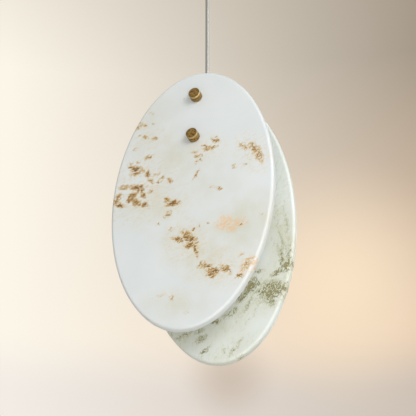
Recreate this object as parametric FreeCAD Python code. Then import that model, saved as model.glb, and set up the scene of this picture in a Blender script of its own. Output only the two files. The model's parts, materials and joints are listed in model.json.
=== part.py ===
# Pendant lamp: two upright oval alabaster plates, carried back to back by a narrow light core.
# Two studs run through the core and both plates, and four brass knobs hold the stone on them.
# One cord carries the lamp. It ends in a small ball swivel under a round canopy on the ceiling.
#
# Millimetres, +Z up. The origin is the middle of the ceiling plate's top face, and the front
# plate faces -Y. The lamp's own pieces are modelled upright round the core's reference point,
# then hung below the ceiling with the slight lean that the lamp has on its cord.
import FreeCAD
import Part
import math
import os
from FreeCAD import Vector

X_AXIS = Vector(1, 0, 0)
Y_AXIS = Vector(0, 1, 0)
Z_AXIS = Vector(0, 0, 1)

# ---------------------------------------------------------------- driving dimensions
# Hanging
HANG_DROP = 552.0          # ceiling down to the core's reference point
LEAN_DEG = 2.8             # the lamp's lean in its own plane, top towards +X
CORD_R = 3.2
INNER_LEAD_R = 2.0         # twin lead that goes on above the cord's clamp

# Stone plates (half sizes of the ovals, in the lamp's upright frame)
STONE_T = 16.0
STONE_EDGE_R = 5.0
STONE_FACE_Y = 46.0        # outer faces of both plates, from the cord's axis
FRONT_HALF_H = 248.6
FRONT_HALF_W = 143.1
FRONT_CENTRE_Z = 4.3
REAR_HALF_H = 265.5
REAR_HALF_W = 137.7
REAR_CENTRE_X = 17.9
REAR_CENTRE_Z = -7.9
REAR_TURN_DEG = -5.5       # top towards -X
STONE_HOLE_R = 7.0

# Studs and what is threaded on them
STUD_R = 4.0
STUD_HALF_LENGTH = 57.5
STUD_Z = {"upper": 199.8, "lower": 116.1}
BUSH_R = 6.95
INNER_WASHER_R = 11.0
INNER_WASHER_T = 1.5
SPACER_R = 10.0
CRUSH_TUBE_R = 6.0
OUTER_WASHER_R = 9.6
OUTER_WASHER_T = 0.8
COLLAR_R = 10.35
COLLAR_T = 7.8
COLLAR_RECESS_R = 7.4
COLLAR_RECESS_T = 1.6
KNOB_GROOVE = 1.2          # narrow dark gap between collar and head
KNOB_R = 10.1
KNOB_HEAD_T = 5.0
KNOB_SEAT = 0.2            # the neck stops this short of the thin washer
KNOB_NECK_R = 6.1
KNOB_LIP_R = 7.1
KNOB_LIP_T = 0.9
KNOB_ROOF_T = 2.0
KNOB_EDGE_R = 0.7

# Light core: a rectangular tube between the plates
CORE_HALF_W = 23.0
CORE_HALF_D = 15.0
CORE_WALL = 2.0
CORE_EDGE_R = 1.5
CORE_TOP_Z = 233.0
CORE_BOTTOM_Z = -92.0
CAP_FLANGE_T = 3.0
CAP_PLUG_T = 7.0
CAP_FIT = 0.05

# Light boards and their opal covers
BOARD_HALF_W = 9.0
BOARD_T = 1.6
BOARD_Z = (-86.0, 98.0)
CHIP_SIZE = 3.5
CHIP_T = 0.8
CHIP_COUNT = 14
CHIP_PITCH = 12.0
CHIP_FIRST_Z = -72.0
BOARD_SCREW_Z = (-80.5, 92.5)
BOARD_SCREW_R = 1.5
BOARD_SCREW_HEAD_R = 2.8
BOARD_SCREW_HEAD_T = 1.8
COVER_HALF_W = 14.0
COVER_DEPTH = 10.5
COVER_WALL = 1.5
COVER_EDGE_R = 2.5
COVER_Z = (-90.0, 102.0)
LED_LEAD_R = 0.8
LED_LEAD_X = 7.5
LED_LEAD_Y = 4.0
LED_LEAD_EXIT_Z = 88.0

# Cord grip on top of the core
GRIP_TOP_Z = 250.0
GRIP_R = 8.0
GRIP_TOP_R = 5.5
GRIP_CONE_T = 5.0
GRIP_SHANK_R = 5.0
GRIP_BORE_R = 3.35
GRIP_SCREW_Z = 240.0
GRIP_SCREW_R = 2.0
GRIP_SCREW_PROUD = 0.6
LAMP_LEAD_R = 3.1
LAMP_LEAD_ROUTE = [(0, 0, 250), (0, 0, 219), (12.5, 0, 205), (12.5, 0, 180)]
LAMP_BLOCK = (5.0, 20.0, -7.0, 7.0, 150.0, 180.0)
BLOCK_EDGE_R = 1.0

# Canopy and the fittings inside it
CANOPY_R = 63.5
CANOPY_DEPTH = 32.0
CANOPY_WALL = 1.5
CANOPY_EDGE_R = 6.0
CEILING_GAP = 0.4
CANOPY_HOLE_R = 5.3
PLATE_R = 56.0
PLATE_T = 2.0
SLOT_SPACING = 69.85       # the two screws of a 3 inch ceiling box
SLOT_LENGTH = 12.0
SLOT_HALF_W = 2.5
SUPPLY_HOLE_R = 10.0
SUPPLY_HOLE_Y = -42.0
EAR_ROOT_X = 50.0
EAR_OUTER_X = 60.5
EAR_HALF_W = 8.0
EAR_DROP = 20.0
LOCK_SCREW_Z = -12.0
LOCK_SCREW_R = 2.0
LOCK_SCREW_HEAD_R = 4.5
LOCK_SCREW_HEAD_T = 3.2
LOCK_SCREW_EDGE_R = 0.5
LOCK_SCREW_INNER_PROUD = 1.5
ROD_R = 5.0                # M10 threads of the plate stud and the canopy nipple
LOCKNUT_FLATS = 17.0
NIPPLE_BORE_R = 3.6
YOKE_HALF_W = 9.0
YOKE_EDGE_R = 2.0
YOKE_TOP_Z = -6.0
YOKE_BOTTOM_Z = -29.0
YOKE_WINDOW_HALF_W = 6.0
YOKE_WINDOW_Z = (-24.0, -10.0)
NIPPLE_Z = (-36.0, -25.0)
UPPER_LEAD_ROUTE = [(0, 0, -36), (0, 0, -24), (0, 10, -15), (0, 22, -15)]

# Ball swivel
SWIVEL_Z = -50.0
BALL_R = 9.0
BALL_FLAT = 7.0
LINER_R = (9.2, 10.5)
LINER_Z = (-7.0, 1.8)
SOCKET_INNER_R = 10.7
SOCKET_R = 14.0
SOCKET_ROOF_T = 4.0
SOCKET_BOTTOM = 12.0
SOCKET_EDGE_R = 4.0
MOUTH_R = (6.0, 8.4)
MOUTH_Z = (-8.0, -12.5)
FERRULE_R = 5.0
FERRULE_T = 4.5

# Driver and terminals
DRIVER_HALF_X = 32.0
DRIVER_Y = (22.0, 48.0)
DRIVER_Z = (-22.0, -5.0)
DRIVER_WALL = 1.5
DRIVER_EDGE_R = 1.2
DRIVER_LID_T = 3.0
DRIVER_EAR_X = 40.0
DRIVER_EAR_HALF_W = 5.0
DRIVER_SCREW = (36.0, 35.0)
DRIVER_BOARD_LIFT = 4.0
DRIVER_BOARD_INSET = 3.0
DRIVER_BOARD_T = 1.6
PILLAR_R = 1.6
PILLAR_INSET = 5.0
COIL_HALF_W = 8.0
COIL_INSET = 6.0
COIL_H = 9.4
CAPACITOR_R = 3.0
CAPACITOR_H = 9.0
CAPACITOR_X = (-22.0, -15.0, 16.0)
CAPACITOR_INSET = 9.0
SMALL_SCREW_R = 1.5
SMALL_SCREW_HEAD_R = 2.8
SMALL_SCREW_HEAD_T = 1.8
SMALL_SCREW_TIP = 0.2      # the screws stop this short of the ceiling
BLOCK_BOX = (6.0, 30.0, -30.0, -18.0, -14.0, -2.0)
MAINS_LEAD_X = 20.0
MAINS_LEAD_Z = -9.0
MAINS_LEAD_R = 2.5
EARTH_SCREW_XY = (-18.0, -24.0)
EARTH_HEAD_R = 4.0
EARTH_HEAD_T = 5.0
EARTH_LEAD_R = 0.9
EARTH_LEAD_Z = -5.0

# Fits and clearances
THREAD_GAP = 0.05          # radial, on threads and press-in pieces
SCREW_GAP = 0.1            # radial, in a screw's plain hole
NECK_GAP = 0.1             # radial, between a collar and the neck that turns in it
WASHER_GAP = 0.4           # radial, thin outer washers on their studs
LEAD_GAP = 0.4             # radial, a lead in its wall hole
LEAD_TOUCH = 0.02          # left between a clamp screw and the lead
HEAD_TOUCH = 0.05          # left between a screw head and what it closes
LUG_GAP = 0.15             # left between the earth screw's head and its lead
PAST = 1.0                 # how far a cutter runs past a face, or a fused end into its neighbour
TOUCH = 0.01               # tolerance when an edge is picked by its place
ARC_SHARE = 0.45           # share of a lead's shorter run that its bend takes
UPRIGHT_EDGE = 10.0        # edges taller than this are a block's corners


# ---------------------------------------------------------------- small helpers
def save(node, shape):
    shape.exportStep("parts/" + node + ".step")
    print("%-26s solids %2d  volume %11.1f  valid %s"
          % (node, len(shape.Solids), shape.Volume, shape.isValid()))


def box(x0, x1, y0, y1, z0, z1):
    return Part.makeBox(x1 - x0, y1 - y0, z1 - z0, Vector(x0, y0, z0))


def rod(radius, start, axis, length):
    return Part.makeCylinder(radius, length, Vector(*start), axis)


def tube(outer_r, inner_r, start, axis, length):
    return rod(outer_r, start, axis, length).cut(rod(inner_r, start, axis, length))


def group(solids):
    return Part.makeCompound(solids)


def round_edges(solid, radius, wanted):
    """Fillet every edge of the solid for which wanted(edge) is true."""
    return solid.makeFillet(radius, [edge for edge in solid.Edges if wanted(edge)])


def is_ring(edge):
    return len(edge.Vertexes) == 1


def is_ring_at(axis_index, place):
    """True for round edges that lie in one plane across the given axis (0 X, 1 Y, 2 Z)."""
    def wanted(edge):
        box_ = edge.BoundBox
        low = (box_.XMin, box_.YMin, box_.ZMin)[axis_index]
        high = (box_.XMax, box_.YMax, box_.ZMax)[axis_index]
        return abs(low - place) < TOUCH and abs(high - place) < TOUCH and is_ring(edge)
    return wanted


def is_upright(edge):
    return edge.BoundBox.ZLength > UPRIGHT_EDGE


def through(radius, x, y, z0, z1):
    """A cutter along Z that runs past both heights."""
    return rod(radius, (x, y, z0 - PAST), Z_AXIS, z1 - z0 + 2 * PAST)


def hang(shape):
    """Bring a piece of the lamp from its upright frame to its place under the ceiling."""
    hung = shape.copy()
    hung.translate(Vector(0, 0, -HANG_DROP))
    hung.rotate(Vector(0, 0, GRIP_TOP_Z - HANG_DROP), Y_AXIS, LEAN_DEG)
    return hung


def lead(points, radius):
    """Round tube along straight runs joined by tangent arcs, as large as the runs allow."""
    corners = [Vector(*point) for point in points]
    edges = []
    start = corners[0]
    for before, corner, after in zip(corners, corners[1:], corners[2:]):
        back = (before - corner).normalize()
        ahead = (after - corner).normalize()
        turn = math.pi - back.getAngle(ahead)
        run = min((before - corner).Length, (after - corner).Length)
        reach = ARC_SHARE * run
        arc_r = reach / math.tan(turn / 2)
        arc_start = corner + back * reach
        arc_end = corner + ahead * reach
        bisector = (back + ahead).normalize()
        centre = corner + bisector * math.hypot(arc_r, reach)
        arc_middle = centre - bisector * arc_r
        print("  lead bend radius %.1f mm for a lead of %.1f mm" % (arc_r, 2 * radius))
        edges.append(Part.LineSegment(start, arc_start).toShape())
        edges.append(Part.Arc(arc_start, arc_middle, arc_end).toShape())
        start = arc_end
    edges.append(Part.LineSegment(start, corners[-1]).toShape())
    path = Part.Wire(edges)
    section = Part.Wire(Part.makeCircle(radius, corners[0], corners[1] - corners[0]))
    return path.makePipeShell([section], True, True)


# ---------------------------------------------------------------- stone plates
def oval_plate(half_h, half_w, centre_x, centre_z, turn_deg, front_y):
    """An oval plate with rounded edges and two stud holes; front_y is its lower Y face."""
    middle = Vector(centre_x, front_y, centre_z)
    top = middle + Vector(0, 0, half_h)
    side = middle + Vector(half_w, 0, 0)
    outline = Part.Wire(Part.Ellipse(top, side, middle).toShape())
    plate = Part.Face(outline).extrude(Vector(0, STONE_T, 0))
    plate.rotate(middle, Y_AXIS, turn_deg)
    plate = round_edges(plate, STONE_EDGE_R, is_ring)
    for stud_z in STUD_Z.values():
        hole = rod(STONE_HOLE_R, (0, front_y - PAST, stud_z), Y_AXIS, STONE_T + 2 * PAST)
        plate = plate.cut(hole)
    return plate


def make_stone_plates():
    front = oval_plate(FRONT_HALF_H, FRONT_HALF_W, 0, FRONT_CENTRE_Z, 0, -STONE_FACE_Y)
    rear = oval_plate(REAR_HALF_H, REAR_HALF_W, REAR_CENTRE_X, REAR_CENTRE_Z, REAR_TURN_DEG,
                      STONE_FACE_Y - STONE_T)
    save("front_stone_plate", hang(front))
    save("rear_stone_plate", hang(rear))


# ---------------------------------------------------------------- studs, spacers, knobs
def both_sides():
    """The four ends of the two studs: name, outward sign along Y, height."""
    for level, stud_z in STUD_Z.items():
        for side, sign in (("front", -1), ("rear", 1)):
            yield side + "_" + level, sign, stud_z


def on_side(outer_r, inner_r, sign, stud_z, near, far):
    """A ring round a stud, from distance near to distance far on one side of the cord."""
    return tube(outer_r, inner_r, (0, sign * near, stud_z), Y_AXIS * sign, far - near)


def make_studs():
    bore = STUD_R + THREAD_GAP
    inner_face = STONE_FACE_Y - STONE_T
    spacers = []
    washers = []
    bushes = []
    for _, sign, stud_z in both_sides():
        washer_start = inner_face - INNER_WASHER_T
        spacers.append(on_side(SPACER_R, bore, sign, stud_z, CORE_HALF_D, washer_start))
        washers.append(on_side(INNER_WASHER_R, bore, sign, stud_z, washer_start, inner_face))
        bushes.append(on_side(BUSH_R, bore, sign, stud_z, inner_face, STONE_FACE_Y))
    crush_tubes = []
    for level, stud_z in STUD_Z.items():
        stud = rod(STUD_R, (0, -STUD_HALF_LENGTH, stud_z), Y_AXIS, 2 * STUD_HALF_LENGTH)
        save("stud_" + level, hang(stud))
        half = CORE_HALF_D - CORE_WALL
        crush_tubes.append(tube(CRUSH_TUBE_R, bore, (0, -half, stud_z), Y_AXIS, 2 * half))
    save("core_crush_tubes", hang(group(crush_tubes)))
    save("spacer_sleeves", hang(group(spacers)))
    save("inner_stone_washers", hang(group(washers)))
    save("stone_bushes", hang(group(bushes)))


def make_collar(sign, stud_z):
    near = STONE_FACE_Y + OUTER_WASHER_T
    far = near + COLLAR_T
    collar = on_side(COLLAR_R, KNOB_NECK_R + NECK_GAP, sign, stud_z, near, far)
    recess_start = (0, sign * (near - PAST), stud_z)
    recess = rod(COLLAR_RECESS_R, recess_start, Y_AXIS * sign, COLLAR_RECESS_T + PAST)
    collar = collar.cut(recess)

    def outer_rim(edge):
        return is_ring_at(1, sign * far)(edge) and edge.BoundBox.XLength > COLLAR_R + KNOB_NECK_R
    return round_edges(collar, KNOB_EDGE_R, outer_rim)


def make_knob(sign, stud_z):
    near = STONE_FACE_Y + OUTER_WASHER_T + KNOB_SEAT
    head_start = STONE_FACE_Y + OUTER_WASHER_T + COLLAR_T + KNOB_GROOVE
    head_end = head_start + KNOB_HEAD_T
    axis = Y_AXIS * sign
    head = rod(KNOB_R, (0, sign * head_start, stud_z), axis, KNOB_HEAD_T)
    head = round_edges(head, KNOB_EDGE_R, is_ring)
    neck = rod(KNOB_NECK_R, (0, sign * near, stud_z), axis, head_start + PAST - near)
    lip = rod(KNOB_LIP_R, (0, sign * near, stud_z), axis, KNOB_LIP_T)
    thread_end = head_end - KNOB_ROOF_T
    thread_start = (0, sign * (near - PAST), stud_z)
    thread = rod(STUD_R + THREAD_GAP, thread_start, axis, thread_end - near + PAST)
    return head.fuse([neck, lip]).cut(thread)


def make_knobs():
    for place, sign, stud_z in both_sides():
        washer_end = STONE_FACE_Y + OUTER_WASHER_T
        washer_bore = STUD_R + WASHER_GAP
        washer = on_side(OUTER_WASHER_R, washer_bore, sign, stud_z, STONE_FACE_Y, washer_end)
        save(place + "_washer", hang(washer))
        save(place + "_collar", hang(make_collar(sign, stud_z)))
        save(place + "_knob", hang(make_knob(sign, stud_z)))


# ---------------------------------------------------------------- light core
def wall_hole(radius, x, sign, z):
    """A cutter through the core's front or rear wall, with what lies on it."""
    start = (x, sign * (CORE_HALF_D - CORE_WALL - PAST), z)
    return rod(radius, start, Y_AXIS * sign, CORE_WALL + BOARD_T + 2 * PAST)


def make_core_channel():
    outer = box(-CORE_HALF_W, CORE_HALF_W, -CORE_HALF_D, CORE_HALF_D, CORE_BOTTOM_Z, CORE_TOP_Z)
    half_w = CORE_HALF_W - CORE_WALL
    half_d = CORE_HALF_D - CORE_WALL
    channel = round_edges(outer, CORE_EDGE_R, is_upright)
    channel = channel.cut(box(-half_w, half_w, -half_d, half_d, CORE_BOTTOM_Z, CORE_TOP_Z))
    for stud_z in STUD_Z.values():
        start = (0, -CORE_HALF_D - PAST, stud_z)
        channel = channel.cut(rod(STUD_R + THREAD_GAP, start, Y_AXIS, 2 * (CORE_HALF_D + PAST)))
    for sign in (-1, 1):
        channel = channel.cut(wall_hole(LED_LEAD_R + LEAD_GAP, LED_LEAD_X, sign, LED_LEAD_EXIT_Z))
        for screw_z in BOARD_SCREW_Z:
            channel = channel.cut(wall_hole(BOARD_SCREW_R + THREAD_GAP, 0, sign, screw_z))
    save("core_channel", hang(channel))


def make_cap(flange_z, plug_z):
    flange_low = min(flange_z)
    flange = box(-CORE_HALF_W, CORE_HALF_W, -CORE_HALF_D, CORE_HALF_D, flange_low, max(flange_z))
    half_w = CORE_HALF_W - CORE_WALL - CAP_FIT
    half_d = CORE_HALF_D - CORE_WALL - CAP_FIT
    plug = box(-half_w, half_w, -half_d, half_d, min(plug_z), max(plug_z))
    return flange.fuse(plug)


def make_caps():
    top_cap = make_cap((CORE_TOP_Z, CORE_TOP_Z + CAP_FLANGE_T), (CORE_TOP_Z - CAP_PLUG_T, CORE_TOP_Z))
    plug_z = CORE_TOP_Z - CAP_PLUG_T
    flange_z = CORE_TOP_Z + CAP_FLANGE_T
    top_cap = top_cap.cut(through(GRIP_SHANK_R + THREAD_GAP, 0, 0, plug_z, flange_z))
    save("core_top_cap", hang(top_cap))
    bottom_cap = make_cap((CORE_BOTTOM_Z - CAP_FLANGE_T, CORE_BOTTOM_Z),
                          (CORE_BOTTOM_Z, CORE_BOTTOM_Z + CAP_PLUG_T))
    save("core_bottom_cap", hang(bottom_cap))


def make_light_side(side, sign):
    """Board, chips and opal cover on one face of the core."""
    face = sign * CORE_HALF_D

    def slab(half_w, near, far, z0, z1):
        y0 = face + sign * near
        y1 = face + sign * far
        return box(-half_w, half_w, min(y0, y1), max(y0, y1), z0, z1)

    board = slab(BOARD_HALF_W, 0, BOARD_T, BOARD_Z[0], BOARD_Z[1])
    for screw_z in BOARD_SCREW_Z:
        board = board.cut(wall_hole(BOARD_SCREW_R + SCREW_GAP, 0, sign, screw_z))
    save(side + "_led_board", hang(board))
    chips = []
    for index in range(CHIP_COUNT):
        low = CHIP_FIRST_Z + index * CHIP_PITCH - CHIP_SIZE / 2
        chips.append(slab(CHIP_SIZE / 2, BOARD_T, BOARD_T + CHIP_T, low, low + CHIP_SIZE))
    save(side + "_led_chips", hang(group(chips)))
    shell = slab(COVER_HALF_W, 0, COVER_DEPTH, COVER_Z[0], COVER_Z[1])
    outer_y = face + sign * COVER_DEPTH

    def outer_corner(edge):
        return is_upright(edge) and abs(edge.BoundBox.YMin - outer_y) < TOUCH
    shell = round_edges(shell, COVER_EDGE_R, outer_corner)
    hollow = slab(COVER_HALF_W - COVER_WALL, -PAST, COVER_DEPTH - COVER_WALL,
                  COVER_Z[0] + COVER_WALL, COVER_Z[1] - COVER_WALL)
    save(side + "_light_cover", hang(shell.cut(hollow)))


def make_board_screws():
    screws = []
    for sign in (-1, 1):
        head_y = sign * (CORE_HALF_D + BOARD_T)
        for screw_z in BOARD_SCREW_Z:
            axis = Y_AXIS * sign
            head = rod(BOARD_SCREW_HEAD_R, (0, head_y, screw_z), axis, BOARD_SCREW_HEAD_T)
            shank_start = (0, head_y - sign * (BOARD_T + CORE_WALL), screw_z)
            shank = rod(BOARD_SCREW_R, shank_start, axis, BOARD_T + CORE_WALL + PAST)
            screws.append(head.fuse(shank))
    save("board_screws", hang(group(screws)))


def make_core_wiring():
    block = box(*LAMP_BLOCK)
    block = round_edges(block, BLOCK_EDGE_R, is_upright)
    save("lamp_terminal_block", hang(block))
    save("lamp_inner_lead", hang(lead(LAMP_LEAD_ROUTE, LAMP_LEAD_R)))
    block_bottom = LAMP_BLOCK[4]
    for side, sign in (("front", -1), ("rear", 1)):
        lead_y = sign * LED_LEAD_Y
        route = [(LED_LEAD_X, lead_y, block_bottom), (LED_LEAD_X, lead_y, LED_LEAD_EXIT_Z),
                 (LED_LEAD_X, sign * CORE_HALF_D, LED_LEAD_EXIT_Z)]
        save(side + "_led_lead", hang(lead(route, LED_LEAD_R)))


def make_cord_grip():
    flange_top = CORE_TOP_Z + CAP_FLANGE_T
    cone_z = GRIP_TOP_Z - GRIP_CONE_T
    body = rod(GRIP_R, (0, 0, flange_top), Z_AXIS, cone_z - flange_top)
    cone = Part.makeCone(GRIP_R, GRIP_TOP_R, GRIP_TOP_Z - cone_z, Vector(0, 0, cone_z))
    shank_z = CORE_TOP_Z - CAP_PLUG_T
    shank = rod(GRIP_SHANK_R, (0, 0, shank_z), Z_AXIS, flange_top - shank_z)
    grip = body.fuse([cone, shank])
    grip = grip.cut(through(GRIP_BORE_R, 0, 0, shank_z, GRIP_TOP_Z))
    grip = grip.cut(rod(GRIP_SCREW_R + THREAD_GAP, (0, 0, GRIP_SCREW_Z), X_AXIS, GRIP_R + PAST))
    save("lamp_cord_grip", hang(grip))
    screw_start = LAMP_LEAD_R + LEAD_TOUCH
    screw_length = GRIP_R + GRIP_SCREW_PROUD - screw_start
    screw = rod(GRIP_SCREW_R, (screw_start, 0, GRIP_SCREW_Z), X_AXIS, screw_length)
    save("cord_grip_screw", hang(screw))


# ---------------------------------------------------------------- cord and swivel
def make_cord():
    top = SWIVEL_Z + BALL_FLAT + FERRULE_T
    bottom = GRIP_TOP_Z - HANG_DROP + CORD_R * math.sin(math.radians(LEAN_DEG))
    cord = rod(CORD_R, (0, 0, bottom), Z_AXIS, top - bottom)
    print("cord length %.1f mm, from z %.1f to z %.1f" % (top - bottom, top, bottom))
    save("suspension_cord", cord)


def make_swivel():
    centre = Vector(0, 0, SWIVEL_Z)
    ball_flat_z = SWIVEL_Z + BALL_FLAT
    ball = Part.makeSphere(BALL_R, centre)
    ball = ball.common(rod(SOCKET_R, (0, 0, SWIVEL_Z - BALL_R), Z_AXIS, BALL_R + BALL_FLAT))
    ball = ball.cut(through(CORD_R + THREAD_GAP, 0, 0, SWIVEL_Z - BALL_R, ball_flat_z))
    save("swivel_ball", ball)
    ferrule_start = (0, 0, ball_flat_z)
    save("cord_ferrule", tube(FERRULE_R, CORD_R + THREAD_GAP, ferrule_start, Z_AXIS, FERRULE_T))
    liner = Part.makeSphere(LINER_R[1], centre).cut(Part.makeSphere(LINER_R[0], centre))
    liner_low = (0, 0, SWIVEL_Z + LINER_Z[0])
    liner = liner.common(rod(SOCKET_R, liner_low, Z_AXIS, LINER_Z[1] - LINER_Z[0]))
    save("swivel_liner", liner)
    save("swivel_socket", make_socket(centre))


def make_socket(centre):
    bottom = SWIVEL_Z - SOCKET_BOTTOM
    socket = rod(SOCKET_R, (0, 0, bottom), Z_AXIS, -CANOPY_DEPTH - bottom)
    socket = round_edges(socket, SOCKET_EDGE_R, is_ring_at(2, bottom))
    roof = -CANOPY_DEPTH - SOCKET_ROOF_T
    socket = socket.cut(through(ROD_R + THREAD_GAP, 0, 0, roof, -CANOPY_DEPTH))
    socket = socket.cut(rod(SOCKET_INNER_R, (0, 0, SWIVEL_Z), Z_AXIS, roof - SWIVEL_Z))
    socket = socket.cut(Part.makeSphere(SOCKET_INNER_R, centre))
    mouth_bottom = Vector(0, 0, SWIVEL_Z + MOUTH_Z[1])
    mouth = Part.makeCone(MOUTH_R[1], MOUTH_R[0], MOUTH_Z[0] - MOUTH_Z[1], mouth_bottom)
    return socket.cut(mouth)


# ---------------------------------------------------------------- canopy
def make_ceiling_plate():
    plate = rod(PLATE_R, (0, 0, -PLATE_T), Z_AXIS, PLATE_T)
    ear_inner_x = EAR_OUTER_X - PLATE_T
    for sign in (-1, 1):
        xs = sorted((sign * EAR_ROOT_X, sign * EAR_OUTER_X))
        plate = plate.fuse(box(xs[0], xs[1], -EAR_HALF_W, EAR_HALF_W, -PLATE_T, 0))
        xs = sorted((sign * ear_inner_x, sign * EAR_OUTER_X))
        plate = plate.fuse(box(xs[0], xs[1], -EAR_HALF_W, EAR_HALF_W, -EAR_DROP, 0))
    plate = plate.removeSplitter()
    for sign in (-1, 1):
        start = (sign * (ear_inner_x - PAST), 0, LOCK_SCREW_Z)
        plate = plate.cut(rod(LOCK_SCREW_R + THREAD_GAP, start, X_AXIS * sign, PLATE_T + 2 * PAST))
        middle = sign * SLOT_SPACING / 2
        half = SLOT_LENGTH / 2 - SLOT_HALF_W
        slot = box(middle - half, middle + half, -SLOT_HALF_W, SLOT_HALF_W, -PLATE_T - PAST, PAST)
        for end in (middle - half, middle + half):
            slot = slot.fuse(through(SLOT_HALF_W, end, 0, -PLATE_T, 0))
        plate = plate.cut(slot)
        screw_x = sign * DRIVER_SCREW[0]
        plate = plate.cut(through(SMALL_SCREW_R + THREAD_GAP, screw_x, DRIVER_SCREW[1], -PLATE_T, 0))
    holes = [(ROD_R + THREAD_GAP, 0, 0), (SUPPLY_HOLE_R, 0, SUPPLY_HOLE_Y),
             (LOCK_SCREW_R + THREAD_GAP, EARTH_SCREW_XY[0], EARTH_SCREW_XY[1])]
    for radius, x, y in holes:
        plate = plate.cut(through(radius, x, y, -PLATE_T, 0))
    save("ceiling_plate", plate)


def make_canopy_cup():
    bottom = -CANOPY_DEPTH
    height = CANOPY_DEPTH - CEILING_GAP
    cup = rod(CANOPY_R, (0, 0, bottom), Z_AXIS, height)
    cup = round_edges(cup, CANOPY_EDGE_R, is_ring_at(2, bottom))
    inner = rod(CANOPY_R - CANOPY_WALL, (0, 0, bottom + CANOPY_WALL), Z_AXIS, height)
    inner = round_edges(inner, CANOPY_EDGE_R - CANOPY_WALL, is_ring_at(2, bottom + CANOPY_WALL))
    cup = cup.cut(inner)
    cup = cup.cut(through(CANOPY_HOLE_R, 0, 0, bottom, bottom + CANOPY_WALL))
    screw_start = (-CANOPY_R - PAST, 0, LOCK_SCREW_Z)
    screw_hole = rod(LOCK_SCREW_R + 2 * SCREW_GAP, screw_start, X_AXIS, 2 * (CANOPY_R + PAST))
    cup = cup.cut(screw_hole)
    save("canopy_cup", cup)


def make_lock_screws():
    screws = []
    for sign in (-1, 1):
        axis = X_AXIS * sign
        inner = EAR_OUTER_X - PLATE_T - LOCK_SCREW_INNER_PROUD
        shank_length = CANOPY_R + PAST - inner
        shank = rod(LOCK_SCREW_R, (sign * inner, 0, LOCK_SCREW_Z), axis, shank_length)
        head_start = (sign * (CANOPY_R + HEAD_TOUCH), 0, LOCK_SCREW_Z)
        head = rod(LOCK_SCREW_HEAD_R, head_start, axis, LOCK_SCREW_HEAD_T)
        head = round_edges(head, LOCK_SCREW_EDGE_R, is_ring)
        screws.append(head.fuse(shank))
    save("canopy_lock_screws", group(screws))


def make_hexagon(across_flats, z0, z1, hole_r):
    corner_r = across_flats / math.sqrt(3)
    angles = [math.radians(60 * step) for step in range(7)]
    corners = [Vector(corner_r * math.cos(angle), corner_r * math.sin(angle), z0) for angle in angles]
    nut = Part.Face(Part.makePolygon(corners)).extrude(Vector(0, 0, z1 - z0))
    return nut.cut(through(hole_r, 0, 0, z0, z1))


def make_hanging_yoke():
    yoke = box(-YOKE_HALF_W, YOKE_HALF_W, -YOKE_HALF_W, YOKE_HALF_W, YOKE_BOTTOM_Z, YOKE_TOP_Z)
    yoke = round_edges(yoke, YOKE_EDGE_R, is_upright)
    window_y = YOKE_HALF_W + PAST
    window = box(-YOKE_WINDOW_HALF_W, YOKE_WINDOW_HALF_W, -window_y, window_y, *YOKE_WINDOW_Z)
    yoke = yoke.cut(window).cut(through(ROD_R + THREAD_GAP, 0, 0, YOKE_BOTTOM_Z, YOKE_TOP_Z))
    save("hanging_yoke", yoke)
    save("plate_stud", rod(ROD_R, (0, 0, YOKE_WINDOW_Z[1]), Z_AXIS, -YOKE_WINDOW_Z[1]))
    save("plate_locknut", make_hexagon(LOCKNUT_FLATS, YOKE_TOP_Z, -PLATE_T, ROD_R + THREAD_GAP))
    nipple_length = NIPPLE_Z[1] - NIPPLE_Z[0]
    save("canopy_nipple", tube(ROD_R, NIPPLE_BORE_R, (0, 0, NIPPLE_Z[0]), Z_AXIS, nipple_length))
    save("upper_inner_lead", lead(UPPER_LEAD_ROUTE, INNER_LEAD_R))


def make_driver():
    y0, y1 = DRIVER_Y
    z0, z1 = DRIVER_Z
    half_x = DRIVER_HALF_X
    wall = DRIVER_WALL
    case = box(-half_x, half_x, y0, y1, z0, z1)
    case = round_edges(case, DRIVER_EDGE_R, is_upright)
    case = case.cut(box(-half_x + wall, half_x - wall, y0 + wall, y1 - wall, z0 + wall, z1))
    for x in (-half_x + PILLAR_INSET, half_x - PILLAR_INSET):
        for y in (y0 + PILLAR_INSET, y1 - PILLAR_INSET):
            case = case.fuse(rod(PILLAR_R, (x, y, z0 + PAST), Z_AXIS, DRIVER_BOARD_LIFT - PAST))
    save("driver_case", case)
    save("driver_board", make_driver_board(z0 + DRIVER_BOARD_LIFT))
    lid = box(-half_x, half_x, y0, y1, z1, z1 + DRIVER_LID_T)
    screw_x, screw_y = DRIVER_SCREW
    for sign in (-1, 1):
        xs = sorted((sign * (half_x - PAST), sign * DRIVER_EAR_X))
        ear_y = (screw_y - DRIVER_EAR_HALF_W, screw_y + DRIVER_EAR_HALF_W)
        lid = lid.fuse(box(xs[0], xs[1], ear_y[0], ear_y[1], z1, z1 + DRIVER_LID_T))
    lid = lid.removeSplitter()
    screws = []
    for sign in (-1, 1):
        x = sign * screw_x
        lid = lid.cut(through(SMALL_SCREW_R + SCREW_GAP, x, screw_y, z1, z1 + DRIVER_LID_T))
        head_start = (x, screw_y, z1 - SMALL_SCREW_HEAD_T)
        head = rod(SMALL_SCREW_HEAD_R, head_start, Z_AXIS, SMALL_SCREW_HEAD_T)
        shank_z = z1 - PAST
        shank = rod(SMALL_SCREW_R, (x, screw_y, shank_z), Z_AXIS, -SMALL_SCREW_TIP - shank_z)
        screws.append(head.fuse(shank))
    save("driver_cover", lid)
    save("driver_screws", group(screws))


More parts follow.
